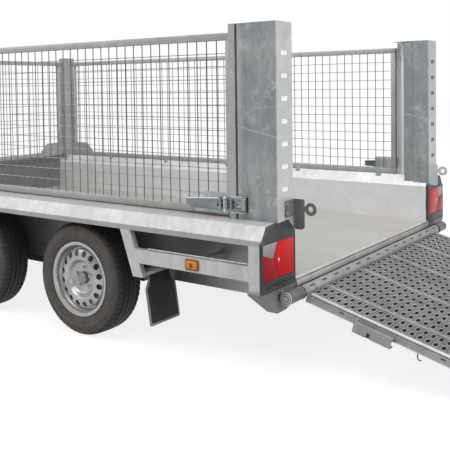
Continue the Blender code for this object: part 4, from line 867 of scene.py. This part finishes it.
def rim_mesh():
    """Silver steel wheel: rolled rim, well, dished disc with round vents and a raised ring."""
    bm = bmesh.new()
    sides = VENTS * VENT_STEPS

    def on_disc(radius, drop=0.0):
        return radius, disc_height(radius) - drop

    inner_part = [
        on_disc(VENT_IN), (0.121, 0.08), (0.1165, 0.0815), (0.112, 0.0812), (0.1075, 0.079),
        (0.103, 0.074), (0.0985, 0.066), (0.094, 0.057), (0.09, 0.05), (0.085, 0.0455),
        (0.078, BOLT_FACE), (0.062, BOLT_FACE), (0.042, BOLT_FACE), (0.036, 0.044),
        (0.0345, 0.038), (0.08, 0.038), (0.09, 0.044), (0.0985, 0.06), (0.107, 0.0745),
        (0.12, 0.075), on_disc(VENT_IN, DISC_SHEET)]
    outer_part = [
        on_disc(VENT_OUT), (0.164, 0.0618), (0.166, 0.056), (0.1668, 0.047), (0.172, 0.047),
        (0.179, 0.056), (0.1845, 0.062), (0.1862, 0.07), (0.1872, 0.08), (0.19, 0.0858),
        (0.196, 0.0885), (0.203, 0.089), (0.207, 0.0898), (0.2085, 0.0885), (0.2082, 0.0862),
        (0.203, 0.0845), (0.1965, 0.0828), (0.1932, 0.08), (0.1928, 0.061), (0.19, 0.056),
        (0.168, 0.033), (0.1655, 0.028), (0.1655, -0.03), (0.1905, -0.06), (0.193, -0.081),
        (0.208, -0.0845), (0.2085, -0.0895), (0.189, -0.085), (0.16, -0.03), (0.159, 0.04),
        on_disc(VENT_OUT, DISC_SHEET)]
    for profile in (inner_part, outer_part):
        add_turned(bm, profile, sides, None, False)
    add_turned(bm, [(0.0905, 0.034), (0.1595, 0.034), (0.1595, 0.031), (0.0905, 0.031)], sides)
    part = bmesh.new()
    for vent in range(VENTS):
        vent_tile(part, vent)
    merge(bm, part)
    bmesh.ops.remove_doubles(bm, verts=bm.verts, dist=0.00008)
    return mesh_from(bm, 40)


def vent_tile(bm, vent):
    """Sector of the disc around one vent: both faces, and the vent's walls."""
    middle = 2 * pi * (vent + 0.5) / VENTS
    steps = VENT_STEPS
    perimeter = [(-0.5 + i / steps, 1.0) for i in range(steps)] + [(0.5, 1.0), (0.5, 0.0)]
    perimeter += [(0.5 - i / steps, -1.0) for i in range(steps)] + [(-0.5, -1.0), (-0.5, 0.0)]
    r_mid, r_half = (VENT_IN + VENT_OUT) / 2, (VENT_OUT - VENT_IN) / 2
    vent_long, vent_wide = VENT_HALF

    def spot(aside, radius, drop):
        angle = middle + aside
        height = disc_height(radius) - drop
        return bm.verts.new((radius * sin(angle), height, -radius * cos(angle)))

    def ring_at(grow, drop):
        turns = [atan2(b, a * 2) for a, b in perimeter]
        return [spot((vent_wide + grow) * cos(t) / r_mid,
                     r_mid + (vent_long + grow) * sin(t), drop) for t in turns]

    def edge_at(drop):
        return [spot(a * 2 * pi / VENTS, r_mid + b * r_half, drop) for a, b in perimeter]

    edge, ring = edge_at(0.0), ring_at(0.0009, 0.0)
    back_edge, back_ring = edge_at(DISC_SHEET), ring_at(0.0, DISC_SHEET)
    lip = ring_at(0.0, 0.0013)
    for before, after in ((edge, ring), (back_edge, back_ring), (ring, lip), (lip, back_ring)):
        bridge(bm, before, after)


def wheel_bolts():
    """Five bolts on their seats, and the valve."""
    bm = bmesh.new()
    for k in range(5):
        t = 2 * pi * (k + 0.5) / 5
        place = move(BOLT_CIRCLE * sin(t), BOLT_FACE - 0.0002, -BOLT_CIRCLE * cos(t))
        add_turned(bm, [(0, 0), (0.0125, 0), (0.0125, 0.0012), (0.0108, 0.0024), (0, 0.0024)],
                   20, place)
        add_turned(bm, [(0, 0.002), (0.0092, 0.002), (0.0092, 0.0135), (0.0078, 0.016),
                        (0.0045, 0.016), (0.004, 0.012), (0, 0.012)], 6, place)
    add_rod(bm, (-0.11, 0.05, -0.132), (-0.1135, 0.08, -0.136), 0.0034, 12, 0, 0.0008)
    return bm


def wheels():
    """Dress the four road wheels."""
    cap = shape(add_turned, (HUB_CAP, 48, None, False))
    shapes = (("tyre_detail", tyre_mesh(), [RUBBER], "tyre_rubber", "tyre_"),
              ("rim_detail", rim_mesh(), [SILVER], "wheel_silver", "rim_"),
              ("hub_cap", mesh_from(cap), [CAP], "wheel_silver", None),
              ("wheel_bolts", mesh_from(wheel_bolts()), [BRIGHT], "bright_zinc", None))
    for sign, side in ((1, "left"), (-1, "right")):
        for x, end in ((REAR_AXLE_X, "rear"), (FRONT_AXLE_X, "front")):
            place = move(REAR_X + x, sign * WHEEL_Y, WHEEL_RADIUS)
            wheel = f"{end}_{side}"
            for label, mesh, materials, slot, node in shapes:
                mesh = mesh.copy() if sign > 0 else mirror_mesh(mesh)
                show(f"{label}_{wheel}", mesh, materials, "wheel_" + wheel, place,
                     node and node + wheel)


# Lamps, flaps and small fittings

def tail_lamps():
    """Rear lamps: black housing, red lens, darker reflector, clear wedge, glint and skirt."""
    inner, outer = HALF + 0.0155, TAIL_OUT
    low, high = LAMP_BOTTOM + 0.0005, LAMP_TOP - 0.0005
    put_pair("lamp_housing", shape(add_box, (0.0005, 0.0115, inner, outer, low, high, 0.0015)),
             BLACK, replaced="tail_lamp")
    lens_y, lens_z = (outer - 0.001, inner + 0.008), (high - 0.001, low + 0.001)

    def at(u, v):
        """Spot on the lens, as shares of the way inwards and down."""
        return (lens_y[0] - u * (lens_y[0] - lens_y[1]), lens_z[0] - v * (lens_z[0] - lens_z[1]))

    for name, spots, face, material in (
            ("lamp_red", ((0.455, 0), (1, 0), (1, 1), (0.52, 1), (0.33, 0.445)), -0.0015, RED),
            ("lamp_reflector", ((0, 0.275), (0.32, 0.455), (0.512, 1), (0, 1)), -0.0014, DEEP_RED),
            ("lamp_clear", ((0, 0), (0.445, 0), (0.315, 0.435), (0, 0.262)), -0.0014, CLEAR)):
        outline = [at(*spot) for spot in spots]
        put_pair(name, shape(add_prism, (outline, "x", face, 0.003, 0.0008)), material)
    y, z = at(0.5, 0.5)
    star = []
    for k in range(8):
        t, reach = pi * k / 4, 0.0045 if k % 2 else 0.017
        star.append((y + reach * 0.6 * sin(t), z + reach * cos(t)))
    put_pair("lamp_glint", shape(add_prism, (star, "x", -0.0019, -0.001)), GLINT)
    skirt = [(inner, low - 0.002), (outer - 0.012, low - 0.002), (outer - 0.03, low - 0.034),
             (inner, low - 0.034)]
    put_pair("lamp_skirt", shape(add_prism, (skirt, "x", -0.0012, 0.0004, 0.0005)),
             BLACK)


def marker_lamps():
    """Amber side lamps: dark frame, deep rim, pale lens and the bulb's darker middle."""
    x0, x1, z0, z1 = 0.375, 0.457, 0.486, 0.54
    out = BEAM_OUT + GAP
    middle, rise = (x0 + x1) / 2, (z0 + z1) / 2

    def layer(name, outline, radius, back, front, easing, material, replaced=None):
        bm = shape(add_prism, (rounded(outline, radius), "y", out + back, out + front, *easing))
        put_pair(name, bm, material, replaced=replaced)

    def inset(by):
        return rectangle(x0 + by, x1 - by, z0 + by, z1 - by)

    layer("marker_base", inset(0), 0.01, 0, 0.0058, (0.001,), AMBER_DARK,
          "marker_lamp")
    layer("marker_rim", inset(0.0035), 0.008, 0.004, 0.009, (0.0015,), AMBER_DEEP)
    layer("marker_lens", inset(0.0085), 0.007, 0.006, 0.0112, (0.0016, 3), AMBER_PALE)
    bulb = rectangle(middle - 0.011, middle + 0.011, rise - 0.012, rise + 0.012)
    layer("marker_bulb", bulb, 0.008, 0.009, 0.0118, (0.0014,), AMBER_DEEP)


def mud_flaps():
    """Rubber flaps with cut upper corners and a raised border, leaning a little to the rear."""
    y0, y1, z0, z1, x_hang = 0.9, 1.138, 0.138, 0.404, 0.768
    lean = ON_TRAILER @ move(x_hang, 0, z1) @ turn(radians(9), "Y") @ move(-x_hang, 0, -z1)

    def outline_of(inset, radius):
        low, high, cut = y0 + inset, y1 - inset, 0.03 - inset * 0.4
        wide, narrow = z1 - 0.072 - inset * 0.4, z1 - 0.03 - inset
        return rounded([(low, z0 + inset), (high, z0 + inset), (high, wide), (high - cut, narrow),
                        (high - cut, z1), (low + cut, z1), (low + cut, narrow), (low, wide)],
                       radius, 5)

    outline, inner = outline_of(0, 0.012), outline_of(0.012, 0.008)
    put_pair("flap_sheet", shape(add_prism, (outline, "x", 0.7665, 0.7695, 0.0005)), FLAP,
             matrix=lean, replaced="mud_flap")
    border = bmesh.new()
    for side, top in ((0.7668, 0.7652), (0.7692, 0.7708)):
        rings = [[border.verts.new((x, y, z)) for y, z in path]
                 for path, x in ((outline, side), (outline, top), (inner, top), (inner, side))]
        for ring, after in zip(rings, rings[1:] + rings[:1]):
            bridge(border, ring, after)
    put_pair("flap_border", border, FLAP_BORDER, matrix=lean)


def toggle_latches():
    """Over-centre fasteners that draw the mesh panels to the rear posts."""
    face, post, slot = PANEL_CENTRE + PANEL_BAR / 2 + GAP, POST_OUTER, "bright_zinc"
    near, far = face + 0.01, face + 0.03
    y_loop, y_pin = post + 0.01, face + 0.021
    plate = shape(add_box, (0.29, 0.446, face, face + 0.003, 0.758, 0.857, 0.001),
                  (0.298, 0.5, face, face + 0.004, 0.751, 0.768, 0.001),
                  (0.266, 0.292, face, face + 0.003, 0.8, 0.862, 0.001),
                  (0.178, 0.262, post + GAP, post + 0.003, 0.772, 0.842, 0.001),
                  *((0.18, 0.26, post + 0.001, post + 0.013, z - 0.003, z + 0.003, 0.0012)
                    for z in (0.769, 0.845)))
    put_pair("toggle_plates", plate, TOGGLE_PALE)
    top = rounded([(0.32, 0.776), (0.32, 0.826), (0.334, 0.834), (0.538, 0.8195), (0.538, 0.785),
                   (0.334, 0.769)], 0.006)
    upper = [(0.334, 0.83), (0.538, 0.8165), (0.538, 0.8195), (0.334, 0.8335)]
    lower = [(0.334, 0.769), (0.538, 0.785), (0.538, 0.7875), (0.334, 0.772)]
    lever = shape(add_prism, (top, "y", far - 0.003, far, 0.0008),
                  (upper, "y", near, far - 0.001, 0.0008), (lower, "y", near, far - 0.001, 0.0008))
    add_box(lever, 0.316, 0.334, face + 0.003, face + 0.014, 0.778, 0.826, 0.0015)
    for x, reach in ((0.285, 0.008), (0.256, 0.006)):
        add_box(lever, x - reach, x + reach, y_loop - 0.006, y_loop + 0.008, 0.779, 0.833, 0.002)
    for z in (0.786, 0.826):
        add_rod(lever, (0.196, y_loop, z), (0.318, y_pin, z), 0.0045, 12)
    add_rod(lever, (0.196, y_loop, 0.78), (0.196, y_loop, 0.832), 0.004, 12)
    add_rod(lever, (0.225, y_loop - 0.001, 0.806), (0.318, y_pin, 0.806), 0.0052, 14, 0, 0.001)
    put_pair("panel_toggle", lever, TOGGLE_STEEL, replaced="toggle_latch")
    # Painted highlight: pale strip on the lever's top edge and a pale pivot pin.
    shine = shape(add_prism, ([(0.334, 0.829), (0.538, 0.815), (0.538, 0.82), (0.334, 0.8345)],
                              "y", far - 0.001, far + 0.0012, 0.0004))
    add_rod(shine, (0.306, y_pin, 0.766), (0.306, y_pin, 0.838), 0.0056, 16, 0, 0.001)
    put_pair("toggle_edges", shine, EDGE_HIGHLIGHT)
    catch = [(post + out, z) for out, z in (
        (GAP, 0.768), (0.004, 0.768), (0.006, 0.776), (0.015, 0.78), (0.015, 0.836),
        (0.006, 0.84), (0.004, 0.848), (GAP, 0.848))]
    put_pair("toggle_catch", shape(add_prism, (catch, "x", 0.176, 0.196, 0.0012)), TOGGLE_MID)
    # Painted shade: dark holes in the lever and a dark strip beside the catch.
    hole = bmesh.new()
    for z, radius, sides in ((0.797, 0.007, 20), (0.812, 0.0035, 16)):
        add_rod(hole, (0.34, far - 0.001, z), (0.34, far + 0.0004, z), radius, sides, 0, 0.0002)
    add_box(hole, 0.1655, 0.175, post + GAP, post + 0.002, 0.772, 0.846)
    put_pair("toggle_hollows", hole, HOLLOW)


def tie_clips():
    """Small lashing loops along the inner chamfer of the side beams."""
    bm = bmesh.new()
    y, z = CHAMFER_Y - 0.012, BEAM_TOP - 0.01
    for i in range(5):
        x = 0.385 + i * 0.66
        add_box(bm, x - 0.018, x + 0.018, y - 0.01, y + 0.014, z - 0.004, z + 0.01, 0.001)
        turns = [pi * k / 12 for k in range(13)]
        add_wire_path(bm, [(x + 0.014 * cos(t), y - 0.004 - 0.004 * sin(t),
                            z + 0.008 + 0.02 * sin(t)) for t in turns], 0.003)
    put_pair("tie_clips", bm, BRIGHT)


def ramp_trim():
    """Along each ramp side: bead, hook, ridges, groove, back of the latch channel, and slots."""
    out, tip, root = RAMP_HALF, -RAMP_LENGTH, -0.036

    def fit(name, bm, material):
        put_pair(name, bm, material, "ramp", ON_RAMP)

    bead = [(out - RAMP_LIP, RAMP_TOP - 0.001), (out - RAMP_LIP + 0.001, RAMP_TOP + 0.002),
            (out - 0.0015, RAMP_TOP + 0.0022), (out + 0.0012, RAMP_TOP + 0.0002),
            (out + 0.0012, RAMP_TOP - 0.006), (out - 0.0005, RAMP_TOP - 0.007)]
    fit("ramp_bead", shape(add_prism, (bead, "x", tip + 0.012, root, 0.0006)), ZINC)
    path = [(x, out - 0.004, z) for x, z in ((-0.59, -0.045), (-0.59, -0.066), (-0.593, -0.078),
                                             (-0.602, -0.084), (-0.611, -0.08))]
    fit("ramp_hook", shape(add_wire_path, (path, 0.0034)), DARK_ZINC)
    ridges = [[(out - 0.0002, low), (out + 0.0012, low + 0.0008), (out + 0.0012, high - 0.0008),
               (out - 0.0002, high)] for low, high in ((-0.0225, -0.0195), (-0.0545, -0.0505))]
    fit("ramp_ridges", shape(add_prism, *((ridge, "x", tip + 0.16, root) for ridge in ridges)),
        ZINC)
    # Painted shade: dark strips in the side groove and at the back of the latch channel.
    groove = rectangle(out - 0.0002, out + 0.0004, -0.0195, -0.0165)
    fit("ramp_groove", shape(add_prism, (groove, "x", tip + 0.1, root)),
        TREAD_HOLLOW)
    fit("latch_back", shape(add_box, (-0.47, -0.29, out + 0.0225, out + 0.027, -0.077, -0.04)),
        TREAD_HOLLOW)
    # Painted shade: dark slots in the ramp's side.
    slots = [rounded(rectangle(-s - 0.011, -s + 0.011, -0.034, -0.028), 0.003, 3)
             for s in (0.205, 0.7, 1.05)]
    rows = [(slot, "y", out - 0.001, out + 0.0003) for slot in slots]
    fit("ramp_edge_slots", shape(add_prism, *rows), HOLLOW)


def hinge_ends():
    """Sleeves over the hinge rod, with stepped rings on their ends."""
    def along(y0, y1, *size):
        return (HINGE_X, y0, HINGE_Z), (HINGE_X, y1, HINGE_Z), *size

    profile = [
        (0, 0.0003), (0.03, 0.0003), (0.031, 0.0015), (0.031, 0.005), (0.0298, 0.0062),
        (0.0262, 0.0062), (0.025, 0.005), (0.025, 0.0028), (0.0228, 0.0028), (0.0228, 0.0066),
        (0.0216, 0.0076), (0.0172, 0.0076), (0.016, 0.0066), (0.016, 0.0022), (0.0125, 0.0022),
        (0.0125, 0.0052), (0.0115, 0.006), (0.005, 0.006), (0.0045, 0.003), (0, 0.003)]
    end = move(HINGE_X, HINGE_REACH, HINGE_Z)
    put_pair("hinge_rings", shape(add_turned, (profile, 48, end)), ZINC)
    # Painted shade: dark fillings in the grooves of the end rings.
    grooves = [along(HINGE_REACH + 0.001, HINGE_REACH + 0.0064, outer, 40, inner)
               for inner, outer in ((0.0228, 0.0262), (0.0125, 0.017))]
    put_pair("hinge_grooves", shape(add_rod, *grooves), CAP_ZINC)
    sleeve = along(0.933, HINGE_REACH - 0.0005, 0.0318, 40, 0.0305, 0.0006)
    put_pair("hinge_sleeve", shape(add_rod, sleeve), SLEEVE_ZINC)
    collar = along(0.9275, 0.9315, 0.0335, 40, 0.0235, 0.001)
    put_pair("hinge_collar", shape(add_rod, collar), CAP_ZINC)


def fasteners():
    """Bolt heads on the hinge brackets and the eye plates."""
    spots = [(-0.0002, 1.03, z) for z in (0.328, 0.412)]
    spots += [(-0.0064, POST_OUTER - 0.075, z) for z in (0.7725, 0.816)]
    put_pair("side_bolts", shape(add_bolt, *((spot, (-1, 0, 0), 0.006) for spot in spots)),
             FRAME_ZINC)


def floor_trim():
    """Edge strip at the floor's rear and screw heads along the cross members."""
    strip = (-0.0008, 0.02, -HALF + 0.001, HALF - 0.001, FLOOR_HEIGHT - 0.004,
             FLOOR_HEIGHT + 0.0016, 0.0006)
    put("floor_strip", shape(add_box, strip), ZINC)
    head = [(0, -0.001), (0.0055, -0.001), (0.0052, 0.0008), (0.003, 0.0012), (0, 0.0012)]
    upright = turn(pi / 2, "X")
    screws = [(head, 12, move(0.045 + i * 0.5915, -0.82 + k * 0.205, FLOOR_HEIGHT) @ upright)
              for i in range(7) for k in range(9)]
    put("floor_screws", shape(add_turned, *screws), BRIGHT)


def post_slots():
    """Backs of the row of plain slots in each rear post: painted light on the left, painted shade
    on the right.
    """
    y, low, high = 0.991, 0.888, 1.53
    middles = [low + k * (high - low) / 6 for k in range(7)]
    backs = shape(add_box, *((0.0024, 0.0034, y - 0.0285, y + 0.0285, z - 0.0115, z + 0.0115)
                             for z in middles))
    _, far = put_pair("post_slot_backs", backs, SLOT_PALE)
    # Painted shade: the far post's slot backs in dark zinc.
    far.data.materials[0] = DARK_ZINC


def painted_edge_highlights():
    """Painted highlights along the folded edges of the under rails and the front board."""
    edge = rectangle(BEAM_OUT - 0.003, BEAM_OUT + 0.0002, 0.5575, 0.5605)
    put_pair("rail_edges", shape(add_prism, (edge, "x", 0.08, 0.7, 0.0004)), EDGE_HIGHLIGHT)
    board = (BED_LENGTH + 0.0665, BED_LENGTH + 0.0745, -0.955, 0.955, BEAM_TOP - 0.003,
             BEAM_TOP + 0.0015, 0.001)
    put("board_edge", shape(add_box, board), EDGE_HIGHLIGHT)


def rear_sill():
    """Folded sill under the floor's rear edge, and dark strips of painted shade above and below it.
    """
    reach = HALF - 0.004
    put("rear_sill", shape(add_box, (-0.003, -0.0002, -reach, reach, 0.4065, 0.4375, 0.0008)),
        SILL_ZINC)
    # Painted shade: dark strips for the gaps above and below the sill.
    gaps = [(-0.002, -0.0002, -reach, reach, *rise) for rise in ((0.372, 0.406), (0.4378, 0.4405))]
    put("rear_gap_painted_shade", shape(add_box, *gaps), HOLLOW)


def axle_rails():
    """Folded rails under the chassis that carry the axles."""
    bm = shape(add_box, (1.000, 2.44, 0.842, 0.88, 0.282, 0.3295, 0.003))
    for x in (1.12, 1.33, 2.06, 2.27):
        add_bolt(bm, (x, 0.88, 0.306), (0, 1, 0), 0.008)
    put_pair("axle_rails", bm, CAP_ZINC)


def drawbar_fittings():
    """Bellows, bolts, coupling grip and crank knob at the drawbar's end."""
    lay = move(0, 0, COUPLING_Z) @ turn(-pi / 2, "Z")
    start, end, folds = 4.862, 5.028, 8
    profile = [(0.03, start), (0.043, start + 0.001), (0.043, start + 0.01)]
    pitch = (end - start - 0.024) / folds
    for k in range(folds):
        at = start + 0.012 + k * pitch
        profile += [(0.0335, at), (0.0335, at + pitch * 0.22), (0.0425, at + pitch * 0.45),
                    (0.0425, at + pitch * 0.62)]
    profile += [(0.0335, end - 0.012), (0.04, end - 0.01), (0.04, end - 0.001), (0.03, end)]
    put("bellows", shape(add_turned, (profile, 40, lay)), BLACK, angle=30)
    bolts = shape(add_rod, *(((x - 0.003, 0, COUPLING_Z), (x + 0.003, 0, COUPLING_Z), radius, 40,
                              radius - 0.004, 0.0006)
                             for x, radius in ((start + 0.0055, 0.0437), (end - 0.0055, 0.0407))))
    for x in (4.545, 4.64, 4.735):
        for side in (1, -1):
            add_bolt(bolts, (x, side * 0.05, BED_BOTTOM + 0.0118), (0, 0, 1), 0.0085)
    for x in (4.6, 4.7):
        for side in (1, -1):
            add_bolt(bolts, (x, side * 0.0478, 0.388), (0, side, 0), 0.0075)
    put("drawbar_bolts", bolts, BRIGHT)
    grip = rounded([(5.096, 0.4945), (5.168, 0.504), (5.172, 0.5235), (5.098, 0.514)], 0.006)
    put("coupling_grip", shape(add_prism, (grip, "y", -0.0185, 0.0185, 0.004, 3)), BLACK)
    post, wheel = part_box("jockey_post")[1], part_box("jockey_wheel")
    x, y = post.x - REAR_X - 0.012, (wheel[0].y + wheel[1].y) / 2
    knob = ((x, y, post.z - 0.078), (x, y, post.z - 0.0005), 0.0124, 20, 0, 0.003)
    put("crank_knob", shape(add_rod, knob), BLACK)


def jockey_hub():
    """Pressed steel hub on each side of the jockey wheel."""
    low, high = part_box("jockey_wheel")
    centre, half = (low + high) / 2, (high.y - low.y) / 2
    profile = [(0.0095, half - 0.004), (0.0095, half - 0.0006), (0.029, half - 0.0006),
               (0.0345, half - 0.0092), (0.06, half - 0.0092), (0.065, half - 0.0075),
               (0.065, half - 0.012), (0.034, half - 0.012)]
    sides = [(profile, 40, Matrix.Diagonal((1, sign, 1, 1))) for sign in (1, -1)]
    put("jockey_hub", shape(add_turned, *sides), SILVER, "jockey_wheel",
        move(*centre))


def carried_over():
    """Materials for the solids, by the first of these words that a node's name starts with."""
    looks = {
        # Painted shade: dark zinc on the front board and hinge brackets, under zinc on the chassis.
        "bed_floor": BOARD, "chassis_frame": UNDER_ZINC, "front_board": DARK_ZINC,
        "overrun_tube": DARK_ZINC, "handbrake_lever": BLACK_STEEL, "jockey_wheel": RUBBER,
        "ramp_frame": FRAME_ZINC, "ramp_deck": RAMP_ZINC, "mesh": PANEL_ZINC,
        "side_beam": BEAM_ZINC, "rear_post": POST_ZINC, "front_post": PANEL_ZINC,
        "tail_plate": CAP_ZINC, "tail_lamp": RED, "hinge_bracket": DARK_ZINC,
        "eye_plate_left": DARK_ZINC, "mud_flap": FLAP, "marker_lamp": AMBER,
        "toggle_latch": TOGGLE_STEEL, "rim": SILVER, "tyre": RUBBER, "": ZINC}
    for name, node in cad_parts.items():
        start = next(word for word in looks if name.startswith(word))
        node.data.materials.clear()
        node.data.materials.append(looks[start])


for make in (make_camera, make_stage, make_lamps, carried_over, mesh_panels, ramp_tread,
             hinge_slots, wheels, tail_lamps, marker_lamps, mud_flaps, toggle_latches, tie_clips,
             ramp_trim, hinge_ends, fasteners, floor_trim, post_slots, painted_edge_highlights, rear_sill,
             axle_rails, drawbar_fittings, jockey_hub):
    make()

bpy.context.scene.view_settings.view_transform = "Standard"
